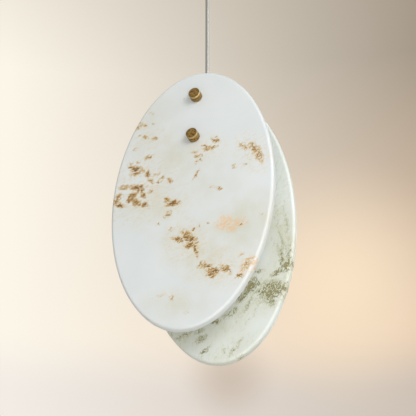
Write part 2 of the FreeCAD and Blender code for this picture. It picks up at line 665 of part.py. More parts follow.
def make_driver_board(board_z):
    """The circuit board with its coil and capacitors; board_z is its underside."""
    half_x = DRIVER_HALF_X - DRIVER_BOARD_INSET
    y0, y1 = DRIVER_Y
    top = board_z + DRIVER_BOARD_T
    board = box(-half_x, half_x, y0 + DRIVER_BOARD_INSET, y1 - DRIVER_BOARD_INSET, board_z, top)
    coil_y = (y0 + COIL_INSET, y1 - COIL_INSET)
    coil = box(-COIL_HALF_W, COIL_HALF_W, coil_y[0], coil_y[1], top, top + COIL_H)
    capacitors = [rod(CAPACITOR_R, (x, y0 + CAPACITOR_INSET, top), Z_AXIS, CAPACITOR_H)
                  for x in CAPACITOR_X]
    return board.fuse([coil] + capacitors)


def make_mains_parts():
    save("mains_terminal_block", round_edges(box(*BLOCK_BOX), BLOCK_EDGE_R, is_upright))
    block_y = BLOCK_BOX[3]
    mains = rod(MAINS_LEAD_R, (MAINS_LEAD_X, block_y, MAINS_LEAD_Z), Y_AXIS, DRIVER_Y[0] - block_y)
    save("mains_lead", mains)
    x, y = EARTH_SCREW_XY
    head = rod(EARTH_HEAD_R, (x, y, -PLATE_T - EARTH_HEAD_T), Z_AXIS, EARTH_HEAD_T)
    shank = rod(LOCK_SCREW_R, (x, y, -PLATE_T - PAST), Z_AXIS, PLATE_T + PAST - SMALL_SCREW_TIP)
    save("earth_screw", head.fuse(shank))
    lead_start = x + EARTH_HEAD_R + LUG_GAP
    earth = rod(EARTH_LEAD_R, (lead_start, y, EARTH_LEAD_Z), X_AXIS, BLOCK_BOX[0] - lead_start)
    save("earth_lead", earth)


def main():
    os.makedirs("parts", exist_ok=True)
    make_stone_plates()
    make_studs()
    make_knobs()
    make_core_channel()
    make_caps()
    make_light_side("front", -1)
    make_light_side("rear", 1)
    make_board_screws()
    make_core_wiring()
    make_cord_grip()
    make_cord()
    make_swivel()
    make_ceiling_plate()
    make_canopy_cup()
    make_lock_screws()
    make_hanging_yoke()
    make_driver()
    make_mains_parts()


main()
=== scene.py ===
"""Two-plate alabaster pendant: the finish of every piece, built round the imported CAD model.

The lamp is two upright oval alabaster plates on a narrow brass light core. Two studs and four
turned brass knobs hold the stone, and one cord carries it from a ball swivel under a canopy.
"""

import json
import math
from functools import partial

import bmesh
import bpy
from mathutils import Matrix, Vector


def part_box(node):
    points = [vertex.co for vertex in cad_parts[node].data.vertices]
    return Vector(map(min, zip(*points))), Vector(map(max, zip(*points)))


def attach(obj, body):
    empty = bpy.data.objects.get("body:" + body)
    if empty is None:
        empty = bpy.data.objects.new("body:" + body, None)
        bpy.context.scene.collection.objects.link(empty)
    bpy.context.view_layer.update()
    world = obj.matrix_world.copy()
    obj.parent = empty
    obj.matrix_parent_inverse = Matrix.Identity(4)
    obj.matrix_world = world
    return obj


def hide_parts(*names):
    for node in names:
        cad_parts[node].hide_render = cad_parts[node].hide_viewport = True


bl_info = {
    "name": "Two-plate alabaster pendant",
    "version": (1, 0, 0),
    "blender": (4, 5, 0),
    "location": "View3D > Sidebar > Pendant",
    "description": "Builds the finished pendant round its packed CAD model",
    "category": "Object",
}

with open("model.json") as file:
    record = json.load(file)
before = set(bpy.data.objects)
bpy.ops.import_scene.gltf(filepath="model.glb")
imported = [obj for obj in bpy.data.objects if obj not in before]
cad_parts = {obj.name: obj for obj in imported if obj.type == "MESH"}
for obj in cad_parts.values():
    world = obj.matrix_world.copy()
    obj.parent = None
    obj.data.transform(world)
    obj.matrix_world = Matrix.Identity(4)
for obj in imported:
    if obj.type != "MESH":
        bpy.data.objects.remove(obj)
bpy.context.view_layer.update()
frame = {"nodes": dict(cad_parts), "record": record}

MM = 0.001
SIDES = (("front", -1), ("rear", 1))
LEVELS = ("upper", "lower")


# ---------------------------------------------------------------- places read from the frame
def middle(node):
    low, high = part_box(node)
    return (low + high) / 2


def oval_halves(node, turn):
    """Half height and half width of an oval plate, from the box of the turned oval."""
    low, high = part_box(node)
    half_x, half_z = (high.x - low.x) / 2, (high.z - low.z) / 2
    c2, s2 = math.cos(turn) ** 2, math.sin(turn) ** 2
    return [math.sqrt((along**2 * c2 - across**2 * s2) / (c2 - s2))
            for along, across in ((half_z, half_x), (half_x, half_z))]


BODY_OF = {node: body for body, nodes in frame["record"]["behaviour"]["bodies"].items()
           for node in nodes}
CORD_TOP, CORD_BOTTOM = (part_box("suspension_cord")[end].z for end in (1, 0))
# The lamp hangs with a lean in its own plane, the line through the two front knobs, and the rear
# plate is turned a little against it
RISE = middle("front_upper_knob") - middle("front_lower_knob")
LEAN = math.atan2(RISE.x, RISE.z)
REAR_TURN = LEAN - math.radians(5.5)
# Two frames in millimetres: the ceiling's, and the lamp's own. The lamp's leans about the cord's
# lower end, and its zero hangs at the height of the stone's middle.
CORD_END = Vector((0, 0, -302 * MM))
LAMP_ZERO = Vector((0, 0, -552 * MM))
CEILING = Matrix.Scale(MM, 4)
LAMP = (Matrix.Translation(CORD_END) @ Matrix.Rotation(LEAN, 4, "Y")
        @ Matrix.Translation(LAMP_ZERO - CORD_END) @ CEILING)


# ---------------------------------------------------------------- what a user would change
def linear(colour):
    """An sRGB hex colour as linear red, green, blue and alpha."""
    channels = [int(colour[i:i + 2], 16) / 255 for i in (1, 3, 5)]
    return (*(c / 12.92 if c <= 0.04045 else ((c + 0.055) / 1.055) ** 2.4 for c in channels), 1.0)


def length(name, description, millimetres):
    return bpy.props.FloatProperty(name=name, description=description, default=millimetres * MM,
                                   unit="LENGTH", subtype="DISTANCE", precision=4)


def amount(name, description, value, unit="NONE"):
    return bpy.props.FloatProperty(name=name, description=description, default=value, min=0, unit=unit)


def colour(name, description, value):
    return bpy.props.FloatVectorProperty(name=name, description=description, size=4,
                                         default=linear(value), subtype="COLOR", min=0, max=1)


class StoneSettings(bpy.types.PropertyGroup):
    """Sizes and colours of the two stone plates."""

    edge_radius: length("Edge radius", "Rounding of the plates' polished edges", 5)
    hole_radius: length("Hole radius", "Bore for the bushes on the studs", 7)
    around: bpy.props.IntProperty(name="Around", description="Corners round an oval",
                                  default=256, min=32, max=1024)
    front: colour("Front stone", "Ground colour of the front plate", "#dfe2e2")
    rear: colour("Rear stone", "Ground colour of the rear plate", "#e3e7e3")
    cream: colour("Cream", "Faint warm smudge round the front plate's stains", "#e6d6b6")
    ochre: colour("Ochre", "Pale rim of an iron stain", "#c9a65e")
    rust: colour("Rust", "Body of an iron stain", "#936820")
    umber: colour("Umber", "Dark heart of an iron stain", "#604b28")
    blush: colour("Blush", "Peach spots low on the front plate", "#e9be8c")
    veil: colour("Veil", "Warm grey-green haze inside the stone", "#cbc5a6")
    sage: colour("Sage", "Faint green smudge in the rear plate", "#d0d4b4")
    moss: colour("Moss", "Thin green lines in the rear plate", "#a8a77c")
    olive: colour("Olive", "Dark outline of a clay patch in the rear plate", "#6c683c")
    khaki: colour("Khaki", "Inside of a clay patch in the rear plate", "#aaa172")


class BrassSettings(bpy.types.PropertyGroup):
    """Edge and colours of the turned brass knobs."""

    rim: length("Rim", "Rounding of a knob's outer rim", 0.5)
    # The bright brass on the knobs' rims is partly real wear and partly a painted highlight
    bright: colour("Bright brass", "Polished brass on worn edges", "#e3c68c")
    burnished: colour("Burnished brass", "Aged face of a knob", "#b3935a")
    patina: colour("Patina", "Dark brown tarnish", "#54401f")
    collar: colour("Collar brass", "Gold brown of the collars", "#9b7842")


class CordSettings(bpy.types.PropertyGroup):
    """Size and colours of the suspension cord."""

    radius: length("Radius", "Half the cord's thickness", 3.2)
    silver: colour("Silver", "Light strands of the braid", "#e6ebec")
    grey: colour("Grey", "Shaded strands of the braid", "#8f9392")


class FittingSettings(bpy.types.PropertyGroup):
    """Sizes of the sheet and turned fittings that hold the lamp and its light."""

    canopy_wall: length("Canopy wall", "Thickness of the spun canopy", 1.5)
    canopy_edge: length("Canopy edge", "Rounding of the canopy's lower rim", 6)
    broken_edge: length("Broken edge", "Bevel on the edges of sheet, tube and moulded pieces", 0.3)
    stud_bore: length("Stud bore", "Bore radius of what is threaded on the studs", 4.05)
    chip: length("Chip", "Side of a square light chip", 3.5)
    chip_pitch: length("Chip pitch", "From one light chip to the next", 12)


class StageSettings(bpy.types.PropertyGroup):
    """Light, camera and background."""

    key_power: amount("Key lamp", "Power of the soft key lamp", 30, "POWER")
    fill_power: amount("Fill lamp", "Power of the soft fill lamp", 28, "POWER")
    back_power: amount("Back lamp", "Power of the soft lamp behind", 9, "POWER")
    side_power: amount("Side lamp", "Power of the lamp on the right", 9, "POWER")
    sky: amount("Sky", "Soft light from above", 0.52)
    ground: amount("Ground", "Soft light from below", 0.36)
    camera_distance: length("Camera distance", "From the camera to the lamp's middle", 2200)
    floor_height: length("Floor height", "Height of the floor below the ceiling", -3000)
    wall_left: colour("Wall left", "Cream side of the background", "#fcf6e9")
    wall_right: colour("Wall right", "Taupe top right of the background", "#a59888")
    wall_low: colour("Wall low", "Peach lower right of the background", "#e6ccb2")
    glow: colour("Glow", "Bright patch of the wall behind the lamp's right side", "#fce6c8")
    foot_left: colour("Foot left", "Pale left side of the wall's foot", "#f0eae4")
    foot_right: colour("Foot right", "Grey right side of the wall's foot", "#c9bfb5")
    shade: colour("Shade", "Faint shadow on the wall under the lamp", "#c2b09e")
    window: colour("Window side", "The bright side of the room that only the metal mirrors", "#ffffff")
    dim: colour("Dim side", "The dim side of the room that only the metal mirrors", "#3a362f")


# ---------------------------------------------------------------- small helpers
# The kinds of node that come most often, and two of their settings
MATH, VECTOR_MATH, MIX = "ShaderNodeMath", "ShaderNodeVectorMath", "ShaderNodeMix"
NOISE, MAP_RANGE, BUMP = "ShaderNodeTexNoise", "ShaderNodeMapRange", "ShaderNodeBump"
MAPPING, COMBINE = "ShaderNodeMapping", "ShaderNodeCombineXYZ"
RGBA = {"out": 2, "data_type": "RGBA"}
SMOOTH = {"interpolation_type": "SMOOTHSTEP"}


def add(tree, kind, inputs=(), out=0, **settings):
    """Adds a node, and gives back one of its outputs, or all of them where out is None.

    The inputs are in order, or keyed by name or number. A socket is linked, a list of sockets is
    linked one by one, and any other value is set.
    """
    made = tree.nodes.new(kind)
    for name, value in settings.items():
        setattr(made, name, value)
    for key, value in inputs.items() if isinstance(inputs, dict) else enumerate(inputs):
        for item in value if isinstance(value, list) else [value]:
            if isinstance(item, bpy.types.NodeSocket):
                tree.links.new(item, made.inputs[key])
            else:
                made.inputs[key].default_value = item
    return made.outputs if out is None or not len(made.outputs) else made.outputs[out]


def blank(data):
    """Empties the nodes of a material or world, and gives back what adds a node to it."""
    data.use_nodes = True
    data.node_tree.nodes.clear()
    return partial(add, data.node_tree)


def new_material(name):
    material = bpy.data.materials.new(name)
    return material, blank(material)


def close_material(put, **sockets):
    """Every material ends in one shader, whose sockets are linked or set here."""
    shader = put("ShaderNodeBsdfPrincipled",
                 {name.replace("_", " "): value for name, value in sockets.items()})
    put("ShaderNodeOutputMaterial", {"Surface": shader})


def linked(name, data):
    """A new object at the origin, in the scene."""
    piece = bpy.data.objects.new(name, data)
    bpy.context.scene.collection.objects.link(piece)
    return piece


def rounded(corners, steps=6):
    """Points of an outline whose corners, (radius, height, rounding), are turned to arcs."""
    points = []
    for i, (r, z, rounding) in enumerate(corners):
        here = Vector((r, z))
        if not rounding:
            points.append(here)
            continue
        before = (Vector(corners[i - 1][:2]) - here).normalized()
        after = (Vector(corners[(i + 1) % len(corners)][:2]) - here).normalized()
        half = before.angle(after) / 2
        centre = here + (before + after).normalized() * rounding / math.sin(half)
        start = here + before * rounding / math.tan(half) - centre
        end = here + after * rounding / math.tan(half) - centre
        sweep = start.angle(end)
        for k in range(steps + 1):
            t = k / steps
            mixed = start * math.sin((1 - t) * sweep) + end * math.sin(t * sweep)
            points.append(centre + mixed / math.sin(sweep))
    return points


SHARP = math.radians(35)        # an edge that turns by more than this stays sharp


def as_piece(name, bm, material):
    """A smooth-shaded object at the origin from a bmesh, with its sharp edges kept."""
    mesh = bpy.data.meshes.new(name)
    bm.to_mesh(mesh)
    bm.free()
    mesh.polygons.foreach_set("use_smooth", [True] * len(mesh.polygons))
    mesh.set_sharp_from_angle(angle=SHARP)
    mesh.materials.append(material)
    return linked(name, mesh)


def lathe(name, corners, place, material, segments=96):
    """A turned piece: corners are (radius, height, rounding) in mm round the local Z axis.

    Its UV map runs round the piece and along the outline, so turning marks can follow it.
    """
    outline = rounded(corners)
    bm = bmesh.new()
    uv = bm.loops.layers.uv.new("UVMap")
    rings, run, along = [], 0.0, []
    for k, point in enumerate(outline):
        run += (point - outline[k - 1]).length if k else 0.0
        along.append(run)
        count = 1 if point.x < 1e-6 else segments
        turns = [2 * math.pi * i / segments for i in range(count)]
        rings.append([bm.verts.new((point.x * math.cos(a), point.x * math.sin(a), point.y))
                      for a in turns])
    pairs = list(zip(range(len(rings)), range(1, len(rings))))
    if outline[0].x > 1e-6 and outline[-1].x > 1e-6:
        pairs.append((len(rings) - 1, 0))
    for one, two in pairs:
        if len(rings[one]) == len(rings[two]) == 1:
            continue
        far = along[two] if two else along[one] + (outline[0] - outline[-1]).length
        for i in range(segments):
            used = {}
            for ring, j, v in ((one, i, along[one]), (one, i + 1, along[one]),
                               (two, i + 1, far), (two, i, far)):
                used.setdefault(rings[ring][j % len(rings[ring])], (j / segments, v * MM))
            for loop in bm.faces.new(list(used)).loops:
                loop[uv].uv = used[loop.vert]
    bmesh.ops.recalc_face_normals(bm, faces=bm.faces)
    if bm.calc_volume(signed=True) < 0:
        bmesh.ops.reverse_faces(bm, faces=bm.faces)
    bm.transform(place)
    return as_piece(name, bm, material)


def arc(radius, centre_z, start, end, steps=12):
    """Corners along a ball's outline, between two angles above its middle, in degrees."""
    turns = [math.radians(start + (end - start) * k / steps) for k in range(steps + 1)]
    return [(radius * math.cos(t), centre_z + radius * math.sin(t), 0) for t in turns]


def threaded(radius, start, end, pitch=1.0, depth=0.55):
    """Corners of a thread's outline, drawn as rings, from one height to another."""
    corners = [(radius - depth, start, 0)]
    for k in range(round((end - start) / pitch)):
        corners += [(radius, start + (k + 0.4) * pitch, 0), (radius, start + (k + 0.6) * pitch, 0),
                    (radius - depth, start + (k + 1) * pitch, 0)]
    return corners


def settled(piece):
    """Turns a piece's modifiers into plain mesh."""
    graph = bpy.context.evaluated_depsgraph_get()
    mesh = bpy.data.meshes.new_from_object(piece.evaluated_get(graph), depsgraph=graph)
    mesh.name = piece.name
    piece.modifiers.clear()
    piece.data = mesh
    return piece


def broken_edges(piece, width):
    """Bevels a piece's sharp edges by the width, and leaves it a plain mesh."""
    edge = piece.modifiers.new("broken edges", "BEVEL")
    edge.width = width
    edge.segments = 2
    edge.limit_method = "ANGLE"
    edge.angle_limit = SHARP
    edge.use_clamp_overlap = True
    return settled(piece)


def stands_for(piece, node):
    """The piece stands for a CAD node: it takes the node's body, and the node is hidden."""
    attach(piece, BODY_OF[node])
    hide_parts(node)


def edged(width, finish, *nodes):
    """Merged copies of CAD nodes with their edges broken, because no real edge is a knife."""
    for node in nodes:
        bm = bmesh.new()
        bm.from_mesh(frame["nodes"][node].data)
        bmesh.ops.remove_doubles(bm, verts=bm.verts, dist=0.002 * MM)
        bmesh.ops.dissolve_limit(bm, angle_limit=math.radians(0.5), verts=bm.verts, edges=bm.edges)
        for layer in list(bm.loops.layers.uv):
            bm.loops.layers.uv.remove(layer)
        stands_for(broken_edges(as_piece(node + "_edged", bm, FINISH[finish]), width), node)


def dress(finish, *nodes):
    """Gives CAD nodes that keep their own mesh a finish."""
    for node in nodes:
        slots = frame["nodes"][node].data.materials
        for i in range(len(slots)):
            slots[i] = FINISH[finish]
        if not len(slots):
            slots.append(FINISH[finish])


# ---------------------------------------------------------------- geometry node trees
SOCKETS = {float: "NodeSocketFloat", int: "NodeSocketInt", tuple: "NodeSocketVector"}


def growing_tree(name, **inputs):
    """A geometry tree whose inputs are named and typed by their defaults, with a Material too."""
    tree = bpy.data.node_groups.new(name, "GeometryNodeTree")
    for way in ("INPUT", "OUTPUT"):
        tree.interface.new_socket(name="Geometry", in_out=way, socket_type="NodeSocketGeometry")
    for label, default in inputs.items():
        tree.interface.new_socket(name=label.replace("_", " "), in_out="INPUT",
                                  socket_type=SOCKETS[type(default)]).default_value = default
    tree.interface.new_socket(name="Material", in_out="INPUT", socket_type="NodeSocketMaterial")
    put = partial(add, tree)
    return tree, put, put("NodeGroupInput", out=None)


def close_tree(put, geometry, given):
    """Every tree ends in Realize Instances and Set Material."""
    real = put("GeometryNodeRealizeInstances", {"Geometry": geometry})
    painted = put("GeometryNodeSetMaterial", {"Geometry": real, "Material": given["Material"]})
    put("NodeGroupOutput", {"Geometry": painted})


def grown(name, tree, places=(), **values):
    """A plain mesh object grown by the tree, its values by input name.

    Places are pairs of a point in metres and the way out from the piece it is fixed to.
    """
    mesh = bpy.data.meshes.new(name)
    mesh.from_pydata([tuple(point) for point, _ in places], [], [])
    outwards = mesh.attributes.new("outwards", "FLOAT_VECTOR", "POINT")
    for item, (_, way) in zip(outwards.data, places):
        item.vector = way
    piece = linked(name, mesh)
    modifier = piece.modifiers.new(tree.name, "NODES")
    modifier.node_group = tree
    for item in tree.interface.items_tree:
        key = item.name.replace(" ", "_")
        if item.in_out == "INPUT" and key in values:
            modifier[item.identifier] = values[key]
    settled(piece)
    while piece.data.materials[0] is None:
        piece.data.materials.pop(index=0)
    return piece


def oval_plate_tree():
    """A flat oval with a rounded edge and two bores, in its own XY plane, thickness along Z."""
    tree, put, given = growing_tree(
        "oval_stone_plate", Half_Height=0.25, Half_Width=0.14, Thickness=0.016, Edge_Radius=0.007,
        Edge_Steps=14, Support=0.0015, Around=256, Hole_Radius=0.007,
        Upper_Hole=(0.0, 0.0, 0.0), Lower_Hole=(0.0, 0.0, 0.0))
    half = put(MATH, (given["Thickness"], 0.5), operation="MULTIPLY")
    minus = put(MATH, (half, -1), operation="MULTIPLY")
    size = put(COMBINE, (given["Half Width"], given["Half Height"], 1))
    oval = put("GeometryNodeCurvePrimitiveCircle", {"Resolution": given["Around"], "Radius": 1})
    oval = put("GeometryNodeTransform", {"Geometry": oval, "Scale": size})
    oval = put("GeometryNodeSetCurveNormal", {"Curve": oval}, mode="Z_UP")

    # The edge's profile, on four points: flat, rounded corner, rounded corner, flat
    place = put(MATH, (put("GeometryNodeInputIndex"), 1.5), operation="SUBTRACT")
    side = put(MATH, (place,), operation="SIGN")
    reach = put(MATH, (place,), operation="ABSOLUTE")
    is_end = put(MATH, (reach, 1), operation="GREATER_THAN")
    inset = put(MATH, (given["Edge Radius"], given["Support"]), operation="ADD")
    inwards = put(MATH, (is_end, -1), operation="MULTIPLY")
    x = put(MATH, (inwards, inset), operation="MULTIPLY")
    y = put(MATH, (side, half), operation="MULTIPLY")
    line = put("GeometryNodeMeshLine", {"Count": 4})
    line = put("GeometryNodeSetPosition", {"Geometry": line, "Position": put(COMBINE, (x, y))})
    line = put("GeometryNodeMeshToCurve", {"Mesh": line})
    line = put("GeometryNodeFilletCurve", {"Curve": line, "Count": given["Edge Steps"],
                                           "Radius": given["Edge Radius"], "Limit Radius": True},
               mode="POLY")
    rim = put("GeometryNodeCurveToMesh", {"Curve": oval, "Profile Curve": line})

    # Both bores, and their walls
    ring = put("GeometryNodeCurvePrimitiveCircle", {"Resolution": 64, "Radius": given["Hole Radius"]})
    bores = put("GeometryNodeJoinGeometry", (
        [put("GeometryNodeTransform", {"Geometry": ring, "Translation": given[hole]})
         for hole in ("Lower Hole", "Upper Hole")],))
    bores = put("GeometryNodeSetCurveNormal", {"Curve": bores}, mode="Z_UP")
    wall = put("GeometryNodeCurvePrimitiveLine", {"Start": put(COMBINE, {1: half}),
                                                  "End": put(COMBINE, {1: minus})})
    walls = put("GeometryNodeCurveToMesh", {"Curve": bores, "Profile Curve": wall})

    # The flat faces fill the rim's inner loops, round the bores
    single = put("GeometryNodeInputMeshEdgeNeighbors")
    on_rim = put("FunctionNodeCompare", {2: single, 3: 1}, data_type="INT", operation="EQUAL")
    height = put("ShaderNodeSeparateXYZ", (put("GeometryNodeInputPosition"),), 2)
    above = put("FunctionNodeCompare", (height, 0.0), data_type="FLOAT", operation="GREATER_THAN")
    chosen = put("FunctionNodeBooleanMath", (on_rim, above), operation="AND")
    loop = put("GeometryNodeMeshToCurve", {"Mesh": rim, "Selection": chosen})
    outline = put("GeometryNodeJoinGeometry", ([bores, loop],))
    flat = put("GeometryNodeFillCurve", {"Curve": outline}, mode="TRIANGLES")
    face = put("GeometryNodeTransform", {"Geometry": flat, "Translation": put(COMBINE, {2: half})})
    back = put("GeometryNodeFlipFaces", {"Mesh": flat})
    back = put("GeometryNodeTransform", {"Geometry": back, "Translation": put(COMBINE, {2: minus})})
    whole = put("GeometryNodeJoinGeometry", ([rim, walls, face, back],))
    whole = put("GeometryNodeMergeByDistance", {"Geometry": whole, "Distance": 1e-5})
    whole = put("GeometryNodeSetShadeSmooth", {"Geometry": whole})
    sharp = put("FunctionNodeCompare", (put("GeometryNodeInputMeshEdgeAngle"), math.radians(40)),
                data_type="FLOAT", operation="GREATER_THAN")
    whole = put("GeometryNodeSetShadeSmooth",
                {"Geometry": whole, "Selection": sharp, "Shade Smooth": False}, domain="EDGE")
    close_tree(put, whole, given)
    return tree


def on_points(put, given, shape):
    """The shape at each point, its Z axis along the point's "outwards"."""
    outwards = put("GeometryNodeInputNamedAttribute", {"Name": "outwards"}, data_type="FLOAT_VECTOR")
    turn = put("FunctionNodeAlignRotationToVector", {"Vector": outwards}, axis="Z")
    placed = put("GeometryNodeInstanceOnPoints",
                 {"Points": given["Geometry"], "Instance": shape, "Rotation": turn})
    close_tree(put, placed, given)


def turned_ring_tree():
    """Sleeves, washers and bushes: a ring of rectangular section with softened corners."""
    tree, put, given = growing_tree("turned_ring", Outer_Radius=0.01, Bore_Radius=0.004,
                                    Length=0.01, Rounding=0.0003)
    wall = put(MATH, (given["Outer Radius"], given["Bore Radius"]), operation="SUBTRACT")
    mean = put(MATH, (wall, -0.5, given["Outer Radius"]), operation="MULTIPLY_ADD")
    circle = put("GeometryNodeCurvePrimitiveCircle", {"Resolution": 64, "Radius": mean})
    circle = put("GeometryNodeSetCurveNormal", {"Curve": circle}, mode="Z_UP")
    section = put("GeometryNodeCurvePrimitiveQuadrilateral", {"Width": wall, "Height": given["Length"]},
                  mode="RECTANGLE")
    section = put("GeometryNodeFilletCurve", {"Curve": section, "Count": 3, "Limit Radius": True,
                                              "Radius": given["Rounding"]}, mode="POLY")
    ring = put("GeometryNodeCurveToMesh", {"Curve": circle, "Profile Curve": section})
    on_points(put, given, put("GeometryNodeSetShadeSmooth", {"Geometry": ring}))
    return tree


HEXAGON = 0.52        # from the middle of a screw's socket to its corners, as a share of the head


def socket_screw_tree():
    """Screws with a round head, a hexagon socket in it and a plain shank below."""
    tree, put, given = growing_tree("socket_screw", Head_Radius=0.004, Head_Height=0.003,
                                    Shank_Radius=0.002, Shank_Length=0.006, Lap=0.0002)
    half = put(MATH, (given["Head Height"], 0.5), operation="MULTIPLY")
    long = put(MATH, (given["Shank Length"], given["Lap"]), operation="ADD")
    low = put(MATH, (long, -0.5, given["Lap"]), operation="MULTIPLY_ADD")
    across = put(MATH, (given["Head Radius"], HEXAGON), operation="MULTIPLY")
    rods = []
    for sides, radius, depth, height in ((32, given["Head Radius"], given["Head Height"], half),
                                         (32, given["Shank Radius"], long, low),
                                         (6, across, given["Head Height"], given["Head Height"])):
        rod = put("GeometryNodeMeshCylinder", {"Vertices": sides, "Radius": radius, "Depth": depth})
        lift = put(COMBINE, {2: height})
        rods.append(put("GeometryNodeTransform", {"Geometry": rod, "Translation": lift}))
    solid = put("GeometryNodeMeshBoolean", {1: rods[:2]}, operation="UNION")
    on_points(put, given, put("GeometryNodeMeshBoolean", (solid, rods[2]), operation="DIFFERENCE"))
    return tree


def chip_row_tree():
    """A straight row of small square light chips, turned with the board they sit on."""
    tree, put, given = growing_tree("chip_row", Count=14, Start=(0.0, 0.0, 0.0), Step=(0.0, 0.0, 0.0),
                                    Chip=(0.0, 0.0, 0.0), Turn=0.0)
    line = put("GeometryNodeMeshLine", {"Count": given["Count"], "Start Location": given["Start"],
                                        "Offset": given["Step"]})
    chip = put("GeometryNodeMeshCube", {"Size": given["Chip"]})
    turn = put(COMBINE, {1: given["Turn"]})
    placed = put("GeometryNodeInstanceOnPoints", {"Points": line, "Instance": chip, "Rotation": turn})
    close_tree(put, placed, given)
    return tree


# ---------------------------------------------------------------- stone
# Mineral marks as (right, up, half length, half width, angle, strength), in mm from the plate's
# middle and degrees. Their places and sizes follow the stone.
FRONT_STAINS = (
    (-84, 178, 6, 3, -25, 0.35), (-105, 155, 8, 4, 55, 0.6), (-94, 156, 4, 3, 0, 0.35),
    (-77, 155, 4, 3, 0, 0.35), (-104, 135, 4, 3, 0, 0.4), (-91, 129, 6, 4, -20, 0.6),
    (-72, 123, 6, 4, -20, 0.6), (-96, 125, 4, 3, 30, 0.45), (-109, 107, 4, 3, 0, 0.4),
    (-82, 86, 8, 4, 15, 0.6), (-112, 79, 4, 3, 0, 0.35), (-100, 80, 4, 3, 0, 0.4),
    (-105, 67, 13, 5, -30, 1.0), (-105, 56, 8, 5, 0, 0.75), (-80, 53, 6, 4, -75, 0.9),
    (-65, 50, 7, 3, 10, 0.4), (-54, 40, 5, 3, 20, 0.6), (-39, 32, 6, 4, -45, 0.65),
    (-59, 33, 5, 3, -10, 0.6), (-74, 37, 7, 4, -50, 0.65), (-122, 33, 8, 4, 5, 0.9),
    (-99, 29, 11, 5, -15, 1.0), (-100, 23, 6, 4, -75, 0.9), (-90, 22, 5, 4, -75, 0.9),
    (-74, 15, 4, 3, -50, 0.9), (-87, 10, 7, 4, -50, 0.9), (-109, 9, 10, 5, 50, 1.0),
    (-100, -1, 11, 5, -40, 1.0), (-82, -10, 6, 4, 5, 0.9), (-134, 11, 10, 5, 50, 0.9),
    (-129, -3, 8, 4, -25, 0.9), (38, 99, 7, 4, -20, 0.9), (24, 83, 5, 4, 5, 0.9),
    (36, 84, 4, 3, 30, 0.9), (20, 88, 7, 4, -40, 0.65), (42, 85, 4, 3, 20, 0.4),
    (3, 80, 5, 3, -10, 0.6), (10, 72, 6, 3, 10, 0.7), (7, 63, 4, 3, 60, 0.6),
    (13, 64, 4, 3, -60, 0.6), (7, 35, 10, 3, 55, 0.6), (50, 0, 5, 3, -10, 0.85),
    (39, 6, 4, 3, 0, 0.4), (-43, -8, 5, 4, -40, 0.85), (-31, -13, 10, 5, 5, 0.95),
    (-37, -33, 6, 4, 70, 0.6), (-44, -38, 3, 3, 0, 0.5), (-55, -52, 3, 2, 45, 0.9),
    (90, -73, 3, 2, 0, 0.8), (8, -71, 3, 2, 45, 0.9), (19, -65, 2, 2, 0, 0.7),
    (33, -62, 3, 2, 0, 0.7), (-28, -63, 9, 4, -5, 0.3), (-16, -85, 10, 4, -35, 1.0),
    (3, -88, 17, 6, -50, 1.0), (5, -99, 9, 4, 20, 1.0), (14, -110, 12, 3, -75, 0.9),
    (32, -137, 3, 3, 0, 0.5), (47, -152, 10, 6, 0, 1.15), (46, -156, 8, 5, -75, 1.0),
    (65, -152, 11, 5, -35, 0.85), (34, -143, 9, 4, -10, 0.8), (23, -138, 6, 3, 40, 0.7),
    (90, -167, 5, 4, 0, 0.9), (103, -149, 12, 6, 40, 0.5),
    (95, -129, 5, 3, 15, 0.4), (-42, -185, 6, 3, 10, 0.35), (-21, -193, 5, 3, -50, 0.45),
    (3, -220, 4, 3, 0, 0.3), (126, -61, 4, 3, 0, 0.3), (89, 78, 10, 5, -50, 0.55),
    (109, 70, 11, 7, -50, 0.75), (117, 53, 12, 6, -70, 0.65), (95, 42, 3, 2, 0, 0.6),
    (75, 41, 5, 4, 0, 0.4), (-24, 197, 3, 2, 0, 0.35),
)
FRONT_HALOES = (
    (-95, 22, 70, 60, 0, 0.55), (-92, 127, 42, 30, 0, 0.30), (28, 86, 30, 24, 0, 0.45),
    (105, 64, 40, 26, -60, 0.55), (0, -93, 45, 34, -50, 0.50),
    (62, -152, 56, 26, 0, 0.45), (-36, -18, 34, 24, 0, 0.35), (-30, -188, 40, 16, 0, 0.20),
)
FRONT_BLUSHES = (
    (64, -68, 14, 11, 0, 1.0), (76, -78, 11, 8, 30, 0.8), (90, -69, 10, 9, 0, 0.8),
    (104, -149, 15, 9, 40, 0.9), (94, -128, 8, 5, 0, 0.5), (55, -118, 20, 9, 20, 0.35),
)
REAR_STAINS = (
    (49, -140, 10, 8, 0, 0.8), (36, -155, 9, 5, 50, 0.8), (21, -178, 5, 4, 0, 0.7),
    (11, -184, 6, 4, 40, 0.7), (-10, -191, 6, 4, 0, 0.8), (61, -134, 7, 4, -50, 0.9),
    (85, -157, 17, 13, 0, 0.75), (83, -172, 10, 4, -70, 0.8), (107, -155, 9, 5, 25, 0.6),
    (116, -117, 9, 5, 60, 0.95), (99, -125, 8, 4, 25, 0.9), (109, -99, 15, 3, -95, 0.55),
    (120, -105, 19, 3, -95, 0.55), (67, -116, 8, 3, 0, 0.6), (45, -174, 24, 3, 50, 0.4),
    (-89, -196, 7, 4, -85, 0.35), (-78, -208, 6, 4, 0, 0.38), (-63, -203, 13, 4, 25, 0.46),
    (-37, -217, 9, 5, 25, 0.42), (-40, -203, 8, 4, 15, 0.38), (-32, -240, 14, 3, 45, 0.42),
    (18, -247, 16, 3, 50, 0.40), (27, -261, 9, 3, 20, 0.3), (54, -190, 30, 2, 50, 0.22),
    (2, -247, 9, 3, 55, 0.28),
    (111, -64, 40, 3, -80, 0.28), (121, -30, 46, 3, -88, 0.26), (104, -84, 22, 3, -70, 0.32),
    (82, -144, 9, 3, 10, 0.7),
    (71, -150, 5, 3, 0, 0.7),
)
